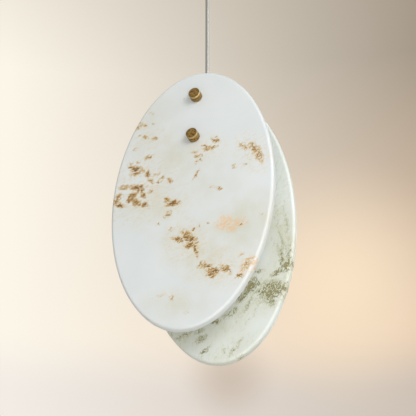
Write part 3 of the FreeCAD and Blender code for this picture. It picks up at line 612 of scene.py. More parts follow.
REAR_HALOES = (
    (77, -153, 55, 32, 0, 0.6), (22, -183, 40, 24, 30, 0.45), (114, -108, 34, 22, -80, 0.55),
    (114, -40, 70, 14, -84, 0.6),
    (-58, -208, 50, 22, 10, 0.4), (2, -248, 50, 18, 20, 0.4), (118, 60, 90, 16, -86, 0.35),
)
FRONT_VEILS = (
    (-87, 170, 60, 40, 30, 0.35), (-40, 85, 90, 45, -40, 0.45), (-54, -15, 60, 40, 0, 0.5),
    (23, -110, 85, 45, -40, 0.6), (95, -72, 60, 50, 0, 0.7), (60, -125, 50, 35, 0, 0.5),
    (20, 20, 80, 60, -40, 0.3), (-10, -205, 60, 25, 0, 0.4),
)
REAR_VEILS = (
    (114, -64, 60, 25, -85, 0.7), (80, -150, 60, 40, 0, 0.6), (20, -190, 80, 30, 35, 0.4),
    (-60, -210, 50, 25, 0, 0.5), (20, -250, 50, 20, 20, 0.4),
)
HALO_SPREAD = 1.5        # a halo or a veil fades out this much past its listed size
THROUGH = 400            # a mark goes right through the stone, in mm
RIDGE_WIDTH = 0.055      # half width of a thin line, as a share of the noise it runs through
CLOUD_DARK = (0.93, 0.96, 0.97)        # red, green and blue of a cloud against the ground
CLOUD_LIGHT = 1.05
# How each plate's marks lie: how far a stain spreads past its listed size, the angle of the bedding
# in degrees, then the tints of its smudges and of its lines. Each list of marks has its coats from
# the rim inwards, as (density where it starts, where it is full, strength, tint).
STONES = {
    "front": {"turn": LEAN, "spread": 1.8, "bedding": 24, "haloes": FRONT_HALOES, "veils": FRONT_VEILS,
              "smudge": "cream", "line": "ochre", "marks": (
                  (FRONT_BLUSHES, ((0.15, 0.9, 0.85, "blush"),)),
                  (FRONT_STAINS, ((0.08, 0.45, 0.80, "ochre"), (0.40, 0.75, 0.92, "rust"),
                                  (0.85, 1.3, 0.85, "umber"))))},
    "rear": {"turn": REAR_TURN, "spread": 2.1, "bedding": 62, "haloes": REAR_HALOES, "veils": REAR_VEILS,
             "smudge": "sage", "line": "moss", "marks": (
                 (REAR_STAINS, ((0.08, 0.40, 0.62, "moss"), (0.38, 0.62, 0.84, "olive"),
                                (0.72, 1.00, 0.75, "khaki"))),)},
}


def mineral_mark_group():
    """Adds one soft oval mark to a running density: the larger of the two is passed on."""
    group = bpy.data.node_groups.new("mineral_mark", "ShaderNodeTree")
    for label in ("Place", "Centre", "Turn", "Size"):
        group.interface.new_socket(name=label, in_out="INPUT", socket_type="NodeSocketVector")
    for label, way in (("Strength", "INPUT"), ("Density", "INPUT"), ("Density", "OUTPUT")):
        group.interface.new_socket(name=label, in_out=way, socket_type="NodeSocketFloat")
    put = partial(add, group)
    place, centre, turn, size, strength, density = list(put("NodeGroupInput", out=None))[:6]
    local = put(MAPPING, (place, centre, turn, size), vector_type="TEXTURE")
    soft = put("ShaderNodeTexGradient", (local,), "Fac", gradient_type="SPHERICAL")
    mark = put(MATH, (soft, strength), operation="MULTIPLY")
    put("NodeGroupOutput", (put(MATH, (mark, density), operation="MAXIMUM"),))
    return group


def mark_density(put, group, place, marks, spread):
    """The density of a list of marks at a place in the plate's own millimetres."""
    density = 0.0
    for right, up, half_length, half_width, angle, strength in marks:
        density = put("ShaderNodeGroup", (
            place, (right, 0, up), (0, -math.radians(angle), 0),
            (half_length * spread, THROUGH, half_width * spread), strength, density), node_tree=group)
    return density


def ridges(put, place, most, **noise):
    """Thin lines that run where a noise crosses its middle value."""
    wave = put(NOISE, {"Vector": place, **noise})
    off = put(MATH, (wave, 0.5), operation="SUBTRACT")
    off = put(MATH, (off,), operation="ABSOLUTE")
    return put(MAP_RANGE, (off, 0, RIDGE_WIDTH, most, 0))


def alabaster(side, group, centre, s):
    """Alabaster, sawn and hand polished: milky, faintly clouded, with iron and clay stains.

    The eye sees a soft satin surface that glows a little from inside. The stains are flakes and
    thin lines that lie along the stone's bedding, with pale smudges round them.
    """
    stone, ground = STONES[side], getattr(s, side)
    material, put = new_material("alabaster_polished_" + side)
    at = put("ShaderNodeTexCoord", out="Object")
    place = put(MAPPING, (at, centre, (0, stone["turn"], 0), (MM, MM, MM)), vector_type="TEXTURE")

    # The marks' outlines drift by 12 mm in patches of 22 mm, and by 9 mm in patches of 6 mm
    drifted = place
    for patch, reach in ((22, 12), (6, 9)):
        noise = put(NOISE, {"Vector": place, "Scale": 1 / patch, "Detail": 3}, "Color")
        swing = put(VECTOR_MATH, (noise, (0.5, 0.5, 0.5)), operation="SUBTRACT")
        drifted = put(VECTOR_MATH, (swing, (reach, 0, reach), drifted), operation="MULTIPLY_ADD")

    # Flakes of 4.6 by 2.1 mm along the bedding, and longer veins between them
    along = (0, -math.radians(stone["bedding"]), 0)
    bed = put(MAPPING, {"Vector": drifted, "Rotation": along, "Scale": (4.6, 4.6, 2.1)},
              vector_type="TEXTURE")
    grain = put(NOISE, {"Vector": bed, "Scale": 1, "Detail": 8, "Roughness": 0.68})
    flaky = put(MATH, (grain, 5.6, -2.15), operation="MULTIPLY_ADD")
    vein = ridges(put, bed, 1.15, Scale=0.42, Detail=6, Roughness=0.6)
    flaky = put(MATH, (flaky, vein), operation="ADD")

    # The milky ground: clouds of 70 mm, and a warm haze in patches of 24 mm
    cloud = put(NOISE, {"Vector": place, "Scale": 1 / 70, "Detail": 3})
    light = (*(min(1, c * CLOUD_LIGHT) for c in ground[:3]), 1)
    dark = (*(c * less for c, less in zip(ground, CLOUD_DARK)), 1)
    colours = put(MIX, {0: cloud, 6: dark, 7: light}, **RGBA)
    patch = put(NOISE, {"Vector": drifted, "Scale": 1 / 24, "Detail": 5})
    patch = put(MAP_RANGE, (patch, 0.30, 0.62, 0.35))
    veil = mark_density(put, group, drifted, stone["veils"], HALO_SPREAD)
    coats = [(put(MATH, (veil, patch), operation="MULTIPLY"), s.veil)]

    # Smudges of 9 by 4 mm and thin lines of 13 by 6 mm, near the stains only
    halo = mark_density(put, group, drifted, stone["haloes"], HALO_SPREAD)
    smudge = put(NOISE, {"Vector": bed, "Scale": 0.5, "Detail": 5})
    smudge = put(MAP_RANGE, (smudge, 0.38, 0.62), **SMOOTH)
    line = put(MATH, (ridges(put, bed, 1, Scale=0.36, Detail=5), smudge), operation="MULTIPLY")
    for shape, most, tint in ((smudge, 0.75, "smudge"), (line, 0.95, "line")):
        share = put(MATH, (halo, most), operation="MULTIPLY")
        share = put(MATH, (share, shape), operation="MULTIPLY")
        coats.append((share, getattr(s, stone[tint])))

    # The marks themselves, from their pale rims to their hearts
    for marks, layers in stone["marks"]:
        density = mark_density(put, group, drifted, marks, stone["spread"])
        flake = put(MATH, (density, flaky), operation="MULTIPLY")
        for low, high, most, tint in layers:
            coats.append((put(MAP_RANGE, (flake, low, high, 0, most), **SMOOTH), getattr(s, tint)))
    for share, tint in coats:
        colours = put(MIX, {0: share, 6: colours, 7: tint}, **RGBA)

    # Hand polish leaves waves of about 12 mm, a few hundredths of a millimetre high
    wave = put(NOISE, {"Vector": place, "Scale": 1 / 12, "Detail": 2})
    bump = put(BUMP, {"Height": wave, "Strength": 0.2, "Distance": 0.0003})
    close_material(put, Base_Color=colours, IOR=1.52, Roughness=0.42, Subsurface_Weight=0.10,
                   Subsurface_Scale=0.004, Subsurface_Radius=(1.0, 0.9, 0.8), Normal=bump)
    return material


class PENDANT_OT_stone(bpy.types.Operator):
    """Build the two oval alabaster plates"""

    bl_idname = "pendant.stone"
    bl_label = "Stone plates"

    def execute(self, context):
        s = context.scene.pendant_stone
        tree = oval_plate_tree()
        group = mineral_mark_group()
        for side, stone in STONES.items():
            node = side + "_stone_plate"
            low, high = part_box(node)
            centre = middle(node)
            half_height, half_width = oval_halves(node, stone["turn"])
            stand = (Matrix.Translation(centre) @ Matrix.Rotation(stone["turn"], 4, "Y")
                     @ Matrix.Rotation(math.pi / 2, 4, "X"))
            holes = {}
            for level in LEVELS:
                knob = middle("front_" + level + "_knob")
                spot = stand.inverted() @ Vector((knob.x, centre.y, knob.z))
                holes[level.title() + "_Hole"] = (spot.x, spot.y, 0.0)
            plate = grown("stone_" + side, tree, Half_Height=half_height, Half_Width=half_width,
                          Thickness=high.y - low.y, Edge_Radius=s.edge_radius, Around=s.around,
                          Hole_Radius=s.hole_radius, Material=alabaster(side, group, centre, s), **holes)
            plate.data.transform(stand)
            stands_for(plate, node)
        return {"FINISHED"}


# ---------------------------------------------------------------- metals, plastics and rubber
def metal(name, light, shade, roughness, grain, lean=0.0):
    """Worked metal: grain is the length of its marks along X, Y and Z in mm.

    The eye sees fine lines or a mottle that follow how the metal was brushed or turned.
    """
    material, put = new_material(name)
    at = put("ShaderNodeTexCoord", out="Object")
    place = put(MAPPING, {"Vector": at, "Rotation": (0, lean, 0)}, vector_type="TEXTURE")
    fine = put(VECTOR_MATH, (place, tuple(1 / (g * MM) for g in grain)), operation="MULTIPLY")
    lines = put(NOISE, {"Vector": fine, "Scale": 1, "Detail": 5})
    mottle = put(NOISE, {"Vector": place, "Scale": 1 / (14 * MM), "Detail": 3})
    mottle = put(MATH, (mottle, 0.4), operation="MULTIPLY")
    mixed = put(MATH, (lines, 0.6, mottle), operation="MULTIPLY_ADD")
    tint = put(MIX, {0: mixed, 6: linear(shade), 7: linear(light)}, **RGBA)
    rough = put(MAP_RANGE, (mixed, 0, 1, roughness + 0.08, roughness - 0.08))
    relief = put(BUMP, {"Height": lines, "Strength": 0.6, "Distance": 0.00002})
    close_material(put, Metallic=1, Base_Color=tint, Roughness=rough, Normal=relief)
    return material


def moulded(name, light, shade, roughness, texture=0.8, bump=0.00005, subsurface=0.0):
    """Moulded plastic or rubber with a fine even texture, its grain size given in mm."""
    material, put = new_material(name)
    at = put("ShaderNodeTexCoord", out="Object")
    grain = put(NOISE, {"Vector": at, "Scale": 1 / (texture * MM), "Detail": 3})
    cloud = put(NOISE, {"Vector": at, "Scale": 1 / (20 * MM), "Detail": 2})
    tint = put(MIX, {0: cloud, 6: linear(shade), 7: linear(light)}, **RGBA)
    relief = put(BUMP, {"Height": grain, "Strength": 0.5, "Distance": bump})
    close_material(put, Base_Color=tint, IOR=1.49, Roughness=roughness, Normal=relief,
                   Subsurface_Weight=subsurface, Subsurface_Scale=0.002)
    return material


def antique_brass(name, s, face, wear):
    """Cast brass, turned, chemically aged and rubbed back by hand.

    The eye sees a burnished face with brown cloudy tarnish, and bright metal on the rim.
    The bright rim is partly rubbed wear and partly a painted highlight.
    """
    material, put = new_material(name)
    at = put("ShaderNodeTexCoord", out=None)
    # Turning marks 0.35 mm apart, coarser than real ones, and tarnish in clouds of 3 mm
    around = put(VECTOR_MATH, (at["UV"], (6, 1 / (0.35 * MM), 0)), operation="MULTIPLY")
    turned = put(NOISE, {"Vector": around, "Scale": 1, "Detail": 3})
    tarnish = put(NOISE, {"Vector": at["Object"], "Scale": 1 / (3 * MM), "Detail": 5, "Roughness": 0.6})
    worn, grime = (put("ShaderNodeAttribute", out="Fac", attribute_name=mark)
                   for mark in ("wear", "grime"))
    dark = put(MAP_RANGE, (tarnish, 0.42, 0.66), **SMOOTH)
    dark = put(MATH, (dark, grime), operation="MAXIMUM")
    tint = put(MIX, {0: dark, 6: face, 7: s.patina}, **RGBA)
    # Bright brass on the rims: partly rubbed wear, partly a painted highlight
    shine = put(MATH, (worn, wear), operation="MULTIPLY")
    tint = put(MIX, {0: shine, 6: tint, 7: s.bright}, **RGBA)
    dull = put(MAP_RANGE, (tarnish, 0.35, 0.7, 0.30, 0.48))
    rough = put(MIX, {0: shine, 2: dull, 3: 0.20}, data_type="FLOAT")
    relief = put(BUMP, {"Height": turned, "Strength": 0.35, "Distance": 0.00003})
    close_material(put, Metallic=1, Base_Color=tint, Roughness=rough, Normal=relief)
    return material


def braid(s):
    """Tinned copper braid under a clear jacket: crossed bright strands, glossy over all.

    The braid's diamonds are 2.2 mm long, drawn coarser than real so that they show.
    """
    material, put = new_material("cord_tinned_braid_clear_jacket")
    at = put("ShaderNodeTexCoord", out="Object")
    x, y, z = put("ShaderNodeSeparateXYZ", (at,), None)
    turn = put(MATH, (y, x), operation="ARCTAN2")
    turn = put(MATH, (turn, 6), operation="MULTIPLY")
    climb = put(MATH, (z, 2 * math.pi / (2.2 * MM)), operation="MULTIPLY")
    crossed = 1.0
    for way in ("ADD", "SUBTRACT"):
        wave = put(MATH, (climb, turn), operation=way)
        wave = put(MATH, (wave,), operation="SINE")
        crossed = put(MATH, (wave, crossed), operation="MULTIPLY")
    level = put(MAP_RANGE, (crossed, -1, 1))
    tint = put(MIX, {0: level, 6: s.grey, 7: s.silver}, **RGBA)
    rough = put(MAP_RANGE, (level, 0, 1, 0.34, 0.20))
    relief = put(BUMP, {"Height": level, "Strength": 0.5, "Distance": 0.0002})
    close_material(put, Metallic=1, Base_Color=tint, Roughness=rough, Normal=relief,
                   Coat_Weight=0.6, Coat_Roughness=0.12, Coat_IOR=1.5)
    return material


def shared_finishes():
    """The finishes that several operators use, by name."""
    return {
        # drawn brass tube, brushed lengthwise and lacquered: long soft lines
        "brushed_brass": metal("brass_brushed_lacquered", "#c0a980", "#8d7850", 0.30,
                               (0.4, 0.4, 18), LEAN),
        # turned brass, aged and waxed: darker than the canopy, with a soft shine
        "turned_brass": metal("brass_turned_aged", "#ad9468", "#78633f", 0.28, (9, 9, 0.3)),
        # spun brass, satin lacquer: a calm even sheen
        "satin_brass": metal("brass_spun_satin", "#bea67c", "#93805a", 0.32, (7, 7, 0.3)),
        # zinc-plated mild steel: cool, slightly cloudy
        "zinc_steel": metal("steel_zinc_plated", "#c9cdd0", "#8f9599", 0.34, (2.5, 2.5, 2.5)),
        # drawn aluminium tube: fine short lines
        "aluminium": metal("aluminium_drawn", "#dadcde", "#a9adb1", 0.36, (6, 0.3, 0.3)),
        # opal acrylic, extruded: milky and smooth
        "opal": moulded("acrylic_opal_extruded", "#f3f1ea", "#e9e6dc", 0.32, 3.0, 0.00002, 0.25),
        # EPDM rubber, die cut: dull black
        "rubber": moulded("rubber_die_cut", "#2c2b2a", "#1c1b1b", 0.72, 0.5),
        # nylon, turned: off-white, waxy
        "nylon": moulded("nylon_turned", "#e6e2d6", "#d3cfc2", 0.45, 1.2, 0.00004, 0.15),
        # PVC lead jackets: smooth, slightly soft sheen
        "lead_white": moulded("pvc_lead_white", "#e8e6e0", "#d6d4cd", 0.45, 1.5),
        "lead_green": moulded("pvc_lead_green", "#4f8a3c", "#3c7230", 0.45, 1.5),
        # polyamide terminal blocks and polycarbonate driver case: matt, finely textured
        "block": moulded("polyamide_block_moulded", "#e9e4d4", "#d8d2c0", 0.50, 0.8),
        "driver": moulded("polycarbonate_case_moulded", "#ecebe8", "#dcdad6", 0.46, 0.9),
        # glass-fibre boards: white solder mask for the light boards, green for the driver's
        "led_board": moulded("board_white_solder_mask", "#f0efea", "#e2e1dc", 0.40, 0.7),
        "circuit": moulded("board_green_solder_mask", "#2f6b46", "#22543a", 0.38, 0.7),
        # silicone with phosphor over the chips: dull warm yellow
        "phosphor": moulded("silicone_phosphor_dome", "#e8c24a", "#d9ae38", 0.42, 0.5, 0.00003, 0.2),
    }


FINISH = {}
OUTSIDE = 99        # in mm, past any knob's rim


class PENDANT_OT_knobs(bpy.types.Operator):
    """Build the four turned brass knobs with their collars and thin washers"""

    bl_idname = "pendant.knobs"
    bl_label = "Knobs"

    def execute(self, context):
        s = context.scene.pendant_brass
        head_brass = antique_brass("brass_antique_burnished", s, s.burnished, 0.6)
        collar_brass = antique_brass("brass_antique_collar", s, s.collar, 0.35)
        for side, sign in SIDES:
            for level in LEVELS:
                place = side + "_" + level
                self.turned("knob", place, sign, self.knob, s.rim / MM, head_brass)
                self.turned("collar", place, sign, self.collar, s.rim / MM, collar_brass)
                self.turned("washer", place, sign, self.washer, 0.15, FINISH["rubber"])
        return {"FINISHED"}

    def turned(self, kind, place, sign, outline, rim, finish):
        """One turned piece in its own frame in mm: Z points out, 0 at the piece's inner end."""
        node = place + "_" + kind
        low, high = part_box(node)
        centre = (low + high) / 2
        centre.y = high.y if sign < 0 else low.y
        stand = Matrix.Translation(centre) @ Matrix.Rotation(math.pi / 2 * -sign, 4, "X") @ CEILING
        corners, *marks = outline((high.x - low.x) / 2 / MM, (high.y - low.y) / MM, rim)
        piece = lathe(kind + "_" + place, corners, stand, finish)
        # Where the brass is rubbed bright, partly a painted highlight, and where grime has caught,
        # by radius in mm
        inverse = stand.inverted()
        across = [(inverse @ vertex.co).xy.length for vertex in piece.data.vertices]
        for name, (near, far, share) in zip(("wear", "grime"), marks):
            mark = piece.data.attributes.new(name, "FLOAT", "POINT")
            mark.data.foreach_set("value", [share if near < a < far else 0.0 for a in across])
        stands_for(piece, node)

    def knob(self, radius, reach, rim):
        """A foot and a neck behind a 5 mm head, its face sunk 0.18 mm, with a bore for the stud."""
        head, face, bore_end = reach - 5, reach - 0.18, reach - 2
        return ([(4.05, 0, 0), (7.1, 0, 0.2), (7.1, 0.9, 0.2), (6.1, 0.9, 0), (6.1, head, 0),
                 (radius, head, rim), (radius, reach, rim), (radius - 1.2, reach, 0.1),
                 (radius - 1.5, face, 0.1), (radius - 3, face, 0), (0, face, 0), (0, bore_end, 0),
                 (4.05, bore_end, 0)],
                (radius - 0.75 * rim, OUTSIDE, 1.0), (radius - 1.8, radius - 1.0, 0.55))

    def collar(self, radius, reach, rim):
        """A ring whose inner step is caught behind the knob's foot."""
        return ([(7.4, 0, 0), (radius, 0, 0.2), (radius, reach, rim), (6.2, reach, 0.2),
                 (6.2, 1.6, 0), (7.4, 1.6, 0)],
                (7.5, OUTSIDE, 0.3), (0, 7.5, 0.9))

    def washer(self, radius, reach, rim):
        """A thin ring that stands 0.02 mm clear of the stone."""
        return ([(4.4, 0.02, 0), (radius, 0.02, rim), (radius, reach, rim), (4.4, reach, 0)],)


class PENDANT_OT_cord(bpy.types.Operator):
    """Build the braided suspension cord, one taut curve from the swivel to the lamp"""

    bl_idname = "pendant.cord"
    bl_label = "Cord"

    def execute(self, context):
        s = context.scene.pendant_cord
        route = ((0, 0, CORD_TOP), (0, 0, CORD_TOP - 12 * s.radius), (0, 0, CORD_BOTTOM))
        curve = bpy.data.curves.new("cord_braided", "CURVE")
        curve.dimensions = "3D"
        line = curve.splines.new("NURBS")
        line.points.add(len(route) - 1)
        for point, place in zip(line.points, route):
            point.co = (*place, 1)
        line.order_u = 3
        line.use_endpoint_u = True
        line.resolution_u = 24
        curve.bevel_depth = s.radius
        curve.bevel_resolution = 12
        curve.use_fill_caps = True
        curve.materials.append(braid(s))
        cord = linked("cord_braided", curve)
        stands_for(cord, "suspension_cord")
        return {"FINISHED"}


class PENDANT_OT_rings(bpy.types.Operator):
    """Build the sleeves, washers, bushes and tubes on the two studs"""

    bl_idname = "pendant.rings"
    bl_label = "Sleeves and washers"

    def execute(self, context):
        s = context.scene.pendant_fittings
        tree = turned_ring_tree()
        studs = [middle("stud_" + level) for level in LEVELS]
        rings, near = [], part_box("core_channel")[1].y
        for node, radius, finish in (("spacer_sleeves", 10.0, "brushed_brass"),
                                     ("inner_stone_washers", 11.0, "rubber"),
                                     ("stone_bushes", 6.95, "nylon")):
            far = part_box(node)[1].y
            rings.append((node, radius, finish, far - near,
                          [(Vector((stud.x, sign * (near + far) / 2, stud.z)), Vector((0, sign, 0)))
                           for stud in studs for _, sign in SIDES]))
            near = far
        rings.append(("core_crush_tubes", 6.0, "aluminium", 2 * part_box("core_crush_tubes")[1].y,
                      [(stud, Vector((0, 1, 0))) for stud in studs]))
        for node, radius, finish, reach, places in rings:
            stands_for(grown(node + "_turned", tree, places, Outer_Radius=radius * MM, Length=reach,
                             Bore_Radius=s.stud_bore, Rounding=s.broken_edge,
                             Material=FINISH[finish]), node)
        dress("zinc_steel", "stud_upper", "stud_lower")
        return {"FINISHED"}


LOCK_HEIGHT = -12        # of the canopy's lock screws, in mm from the ceiling
# Each kind of screw: its node, its frame, the seat of each head with the way out, then the
# head's radius and height and the shank's radius and length, in mm
SCREWS = (
    ("canopy_lock_screws", CEILING, [((side * 63.55, 0, LOCK_HEIGHT), (side, 0, 0))
                                     for side in (-1, 1)], (4.5, 3.2, 2.0, 6.55), "satin_brass"),
    ("board_screws", LAMP, [((0, side * 16.6, z), (0, side, 0)) for side in (-1, 1)
                            for z in (-80.5, 92.5)], (2.8, 1.8, 1.5, 3.6), "zinc_steel"),
    ("driver_screws", CEILING, [((side * 36, 35, -5), (0, 0, -1)) for side in (-1, 1)],
     (2.8, 1.8, 1.5, 4.8), "zinc_steel"),
    ("earth_screw", CEILING, [((-18, -24, -2), (0, 0, -1))], (4.0, 5.0, 2.0, 1.8), "zinc_steel"),
    ("cord_grip_screw", LAMP, [((6, 0, 240), (1, 0, 0))], (2.0, 2.6, 1.9, 2.88), "zinc_steel"),
)


class PENDANT_OT_screws(bpy.types.Operator):
    """Build the hexagon socket screws"""

    bl_idname = "pendant.screws"
    bl_label = "Screws"

    def execute(self, context):
        tree = socket_screw_tree()
        for node, stand, seats, (head_r, head_h, shank_r, shank_l), finish in SCREWS:
            places = [(stand @ Vector(seat), (stand.to_3x3() @ Vector(way)).normalized())
                      for seat, way in seats]
            piece = grown(node + "_socket", tree, places, Head_Radius=head_r * MM,
                          Head_Height=head_h * MM, Shank_Radius=shank_r * MM,
                          Shank_Length=shank_l * MM, Material=FINISH[finish])
            stands_for(broken_edges(piece, context.scene.pendant_fittings.broken_edge), node)
        return {"FINISHED"}


class PENDANT_OT_core(bpy.types.Operator):
    """Build the brass light core with its caps, boards, opal covers and cord grip"""

    bl_idname = "pendant.core"
    bl_label = "Light core"

    def execute(self, context):
        s = context.scene.pendant_fittings
        edged(s.broken_edge, "brushed_brass", "core_channel", "core_top_cap", "core_bottom_cap")
        edged(s.broken_edge, "opal", "front_light_cover", "rear_light_cover")
        edged(s.broken_edge, "led_board", "front_led_board", "rear_led_board")
        edged(s.broken_edge, "block", "lamp_terminal_block")
        tree = chip_row_tree()
        step = LAMP.to_3x3() @ Vector((0, 0, s.chip_pitch / MM))
        for side, _ in SIDES:
            node = side + "_led_chips"
            low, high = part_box(node)
            count = round((high.z - low.z) / step.length + 0.5)
            piece = grown(node + "_row", tree, Count=count, Step=step, Turn=LEAN,
                          Start=middle(node) - step * (count - 1) / 2,
                          Chip=(s.chip, high.y - low.y, s.chip), Material=FINISH["phosphor"])
            stands_for(broken_edges(piece, s.broken_edge), node)
        grip = [(3.35, 226, 0.2), (5, 226, 0.4), (5, 236, 0), (8, 236, 0.3), (8, 245, 0.4),
                (5.5, 250, 0.4), (3.35, 250, 0.2)]
        stands_for(lathe("cord_grip_turned", grip, LAMP, FINISH["turned_brass"], 64), "lamp_cord_grip")
        dress("lead_white", "lamp_inner_lead", "front_led_lead", "rear_led_lead")
        return {"FINISHED"}


class PENDANT_OT_swivel(bpy.types.Operator):
    """Build the ball swivel: socket, nylon ring, ball, and the ferrule crimped on the cord"""

    bl_idname = "pendant.swivel"
    bl_label = "Ball swivel"

    def execute(self, context):
        centre = -50        # the ball's middle, in mm below the ceiling
        socket = [(5.05, -32, 0), (14, -32, 0.3), (14, -62, 4), (8.13, -62, 0.3),
                  *arc(10.7, centre, -53.7, 0), (10.7, -36, 0), (5.05, -36, 0)]
        liner = arc(10.5, centre, -41.8, 9.9) + arc(9.2, centre, 11.3, -49.5)
        ball = [(3.25, centre + 7, 0.3), (3.25, centre - 8.39, 0.3), *arc(9, centre, -68.8, 51.1, 24)]
        ferrule = [(3.25, -43, 0), (5, -43, 0.2), (5, -41.8, 0.1), (4.7, -41.6, 0.1), (4.7, -40, 0.1),
                   (5, -39.8, 0.1), (5, -38.5, 0.5), (3.25, -38.5, 0)]
        for name, corners, finish, node in (("socket_turned", socket, "turned_brass", "swivel_socket"),
                                            ("liner_turned", liner, "nylon", "swivel_liner"),
                                            ("ball_turned", ball, "turned_brass", "swivel_ball"),
                                            ("ferrule_crimped", ferrule, "zinc_steel", "cord_ferrule")):
            stands_for(lathe(name, corners, CEILING, FINISH[finish]), node)
        return {"FINISHED"}


class PENDANT_OT_canopy(bpy.types.Operator):
    """Build the canopy cup and the fittings inside it"""

    bl_idname = "pendant.canopy"
    bl_label = "Canopy"

    def execute(self, context):
        s = context.scene.pendant_fittings
        low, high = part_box("canopy_cup")
        wall, edge, radius = s.canopy_wall / MM, s.canopy_edge / MM, high.x / MM
        bottom, top = low.z / MM, high.z / MM
        cup = [(5.3, bottom, 0.3), (radius, bottom, edge), (radius, top, 0.3), (radius - wall, top, 0.3),
               (radius - wall, bottom + wall, edge - wall), (5.3, bottom + wall, 0.2)]
        canopy = lathe("canopy_spun", cup, CEILING, FINISH["satin_brass"], 160)
        # One bore right across the cup makes the holes of both lock screws
        across = CEILING @ Matrix.Translation((0, 0, LOCK_HEIGHT)) @ Matrix.Rotation(math.pi / 2, 4, "Y")
        reach = radius + 1
        rod = lathe("lock_screw_bore", [(0, -reach, 0), (2.2, -reach, 0), (2.2, reach, 0), (0, reach, 0)],
                    across, FINISH["satin_brass"], 32)
        cut = canopy.modifiers.new("lock screw bore", "BOOLEAN")
        cut.operation = "DIFFERENCE"
        cut.object = rod
        stands_for(settled(canopy), "canopy_cup")
        bpy.data.objects.remove(rod)
        nipple = [(3.6, -25, 0.2), (3.6, -36, 0.2), *threaded(5, -36, -25)]
        stands_for(lathe("nipple_threaded", nipple, CEILING, FINISH["turned_brass"], 48), "canopy_nipple")
        stud = [(0, -10, 0), *threaded(5, -10, 0), (0, 0, 0)]
        stands_for(lathe("plate_stud_threaded", stud, CEILING, FINISH["zinc_steel"], 48), "plate_stud")
        edged(s.broken_edge, "zinc_steel", "ceiling_plate", "plate_locknut", "hanging_yoke")
        edged(s.broken_edge, "driver", "driver_case", "driver_cover")
        edged(s.broken_edge, "circuit", "driver_board")
        edged(s.broken_edge, "block", "mains_terminal_block")
        dress("lead_white", "mains_lead", "upper_inner_lead")
        dress("lead_green", "earth_lead")
        return {"FINISHED"}


# ---------------------------------------------------------------- light, camera, background
PHOTO_SIDE = (20, -32)        # azimuth and elevation of the photograph, from the lamp's front
AIM = LAMP_ZERO + Vector((1.5 * MM, 0, 0))
LENS, SENSOR = 113.32, 36        # in mm
FLOOR_HALF = 6.0        # in metres
# Soft round lamps: name, azimuth and elevation, distance and width in metres, tint
LAMPS = (("key", (42, 8), 2.6, 1.5, "#fefeff"), ("fill", (24, -38), 2.8, 1.8, "#fffefb"),
         ("back", (165, 12), 2.8, 1.6, "#fefeff"), ("side", (84, 34), 2.2, 0.8, "#f8fcff"))


def direction(azimuth, elevation):
    a, e = math.radians(azimuth), math.radians(elevation)
    return Vector((math.sin(a) * math.cos(e), -math.cos(a) * math.cos(e), math.sin(e)))


def aimed(name, data, side, distance, target):
    """A camera or lamp that stands to a side of its target and looks at it."""
    item = linked(name, data)
    item.location = target + direction(*side) * distance
    item.rotation_euler = (-direction(*side)).to_track_quat("-Z", "Y").to_euler()
    return item


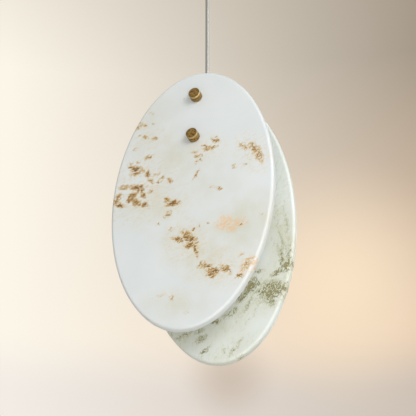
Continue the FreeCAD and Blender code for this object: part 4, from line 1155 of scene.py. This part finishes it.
class PENDANT_OT_stage(bpy.types.Operator):
    """Set the camera, the soft lamps, the floor and the background"""

    bl_idname = "pendant.stage"
    bl_label = "Stage"

    def execute(self, context):
        scene, s = context.scene, context.scene.pendant_stage
        scene.view_settings.view_transform = "Standard"
        data = bpy.data.cameras.new("camera")
        data.lens, data.sensor_width = LENS, SENSOR
        scene.camera = aimed("camera", data, PHOTO_SIDE, s.camera_distance, AIM)
        for name, side, distance, width, tint in LAMPS:
            data = bpy.data.lights.new(name + "_lamp", "AREA")
            data.shape = "DISK"
            data.size = width
            data.energy = getattr(s, name + "_power")
            data.color = linear(tint)[:3]
            aimed(name + "_lamp", data, side, distance, LAMP_ZERO)
        self.floor(s)
        scene.world = self.room(s)
        return {"FINISHED"}

    def floor(self, s):
        """A pale floor of matt plaster, a little brighter where the camera looks straight at it."""
        mesh = bpy.data.meshes.new("floor")
        mesh.from_pydata([(x * FLOOR_HALF, y * FLOOR_HALF, s.floor_height)
                          for x, y in ((-1, -1), (1, -1), (1, 1), (-1, 1))], [], [(0, 1, 2, 3)])
        linked("floor", mesh)
        material, put = new_material("floor_matt_plaster")
        cloud = put(NOISE, {"Vector": put("ShaderNodeTexCoord", out="Object"), "Scale": 1.5})
        tint = put(MIX, {0: cloud, 6: linear("#ece5da"), 7: linear("#f3ede3")}, **RGBA)
        seen = put("ShaderNodeLightPath", out="Is Camera Ray")
        glow = put(MATH, (seen, 0.45), operation="MULTIPLY")
        close_material(put, Base_Color=tint, Roughness=0.9, Emission_Color=tint, Emission_Strength=glow)
        mesh.materials.append(material)

    def room(self, s):
        """Cool light from above and dim warm light from below, and a wall where it is seen.

        The wall is cream on the left, taupe at the top right, peach at the lower right and paler
        at its foot. Soft patches lie on it, and the last two of them only the metal mirrors.
        """
        world = bpy.data.worlds.new("soft_room")
        put = blank(world)
        way = put("ShaderNodeTexCoord", out="Generated")
        height = put("ShaderNodeSeparateXYZ", (way,), 2)
        rise = put(MAP_RANGE, (height, -0.75, 0.75), **SMOOTH)
        low = (*(c * s.ground for c in linear("#f6ecde")[:3]), 1)
        high = (*(c * s.sky for c in linear("#f6fafc")[:3]), 1)
        light = put(MIX, {0: rise, 6: low, 7: high}, **RGBA)
        lit = put("ShaderNodeBackground", {"Color": light})

        sideways = put(VECTOR_MATH, (way, (0.94, 0.34, 0)), "Value", operation="DOT_PRODUCT")
        across = put(MAP_RANGE, (sideways, -0.15, 0.16))
        climb = put(MAP_RANGE, (height, 0.45, 0.62))
        top = put(MAP_RANGE, (height, 0.61, 0.70, 0, 0.35))
        foot = put(MAP_RANGE, (height, 0.40, 0.448, 0.85, 0), **SMOOTH)
        right = put(MIX, {0: climb, 6: s.wall_low, 7: s.wall_right}, **RGBA)
        pale = put(MIX, {0: across, 6: s.foot_left, 7: s.foot_right}, **RGBA)
        patches = [(across, right), (top, s.wall_right), (foot, pale)]
        path = put("ShaderNodeLightPath", out=None)
        unseen = put(MATH, (1, path["Is Camera Ray"]), operation="SUBTRACT")
        for side, wide, most, tint, mirrored in (
                ((193.5, 28.6), 0.105, 0.85, s.glow, False), ((199, 24.6), 0.042, 0.6, s.shade, False),
                ((-80, 25), 1.45, 0.97, s.dim, True), ((88, 30), 1.0, 0.95, s.window, True)):
            near = put(VECTOR_MATH, (way, direction(*side)), "Value", operation="DISTANCE")
            near = put(MAP_RANGE, (near, 0, wide, most, 0), **SMOOTH)
            if mirrored:
                near = put(MATH, (near, unseen), operation="MULTIPLY")
            patches.append((near, tint))
        wall = s.wall_left
        for share, tint in patches:
            wall = put(MIX, {0: share, 6: wall, 7: tint}, **RGBA)
        seen = put("ShaderNodeBackground", {"Color": wall})
        shown = path["Is Camera Ray"]
        for ray in ("Is Glossy Ray", "Is Transmission Ray"):
            shown = put(MATH, (shown, path[ray]), operation="MAXIMUM")
        put("ShaderNodeOutputWorld", {"Surface": put("ShaderNodeMixShader", (shown, lit, seen))})
        return world


class PENDANT_PT_build(bpy.types.Panel):
    """Lists the pendant's operators in the 3D view's sidebar"""

    bl_label = "Pendant"
    bl_idname = "PENDANT_PT_build"
    bl_space_type = "VIEW_3D"
    bl_region_type = "UI"
    bl_category = "Pendant"

    def draw(self, context):
        for operator in OPERATORS:
            self.layout.operator(operator.bl_idname)


SETTINGS = {"pendant_stone": StoneSettings, "pendant_brass": BrassSettings,
            "pendant_cord": CordSettings, "pendant_fittings": FittingSettings,
            "pendant_stage": StageSettings}
OPERATORS = (PENDANT_OT_stage, PENDANT_OT_cord, PENDANT_OT_stone, PENDANT_OT_knobs, PENDANT_OT_rings,
             PENDANT_OT_screws, PENDANT_OT_core, PENDANT_OT_swivel, PENDANT_OT_canopy)
CLASSES = (*SETTINGS.values(), *OPERATORS, PENDANT_PT_build)


def register():
    for kind in CLASSES:
        bpy.utils.register_class(kind)
    for name, kind in SETTINGS.items():
        setattr(bpy.types.Scene, name, bpy.props.PointerProperty(type=kind))


def unregister():
    for name in SETTINGS:
        delattr(bpy.types.Scene, name)
    for kind in reversed(CLASSES):
        bpy.utils.unregister_class(kind)


def main():
    register()
    FINISH.update(shared_finishes())
    for operator in OPERATORS:
        group, name = operator.bl_idname.split(".")
        getattr(getattr(bpy.ops, group), name)()


if __name__ == "__main__":
    main()
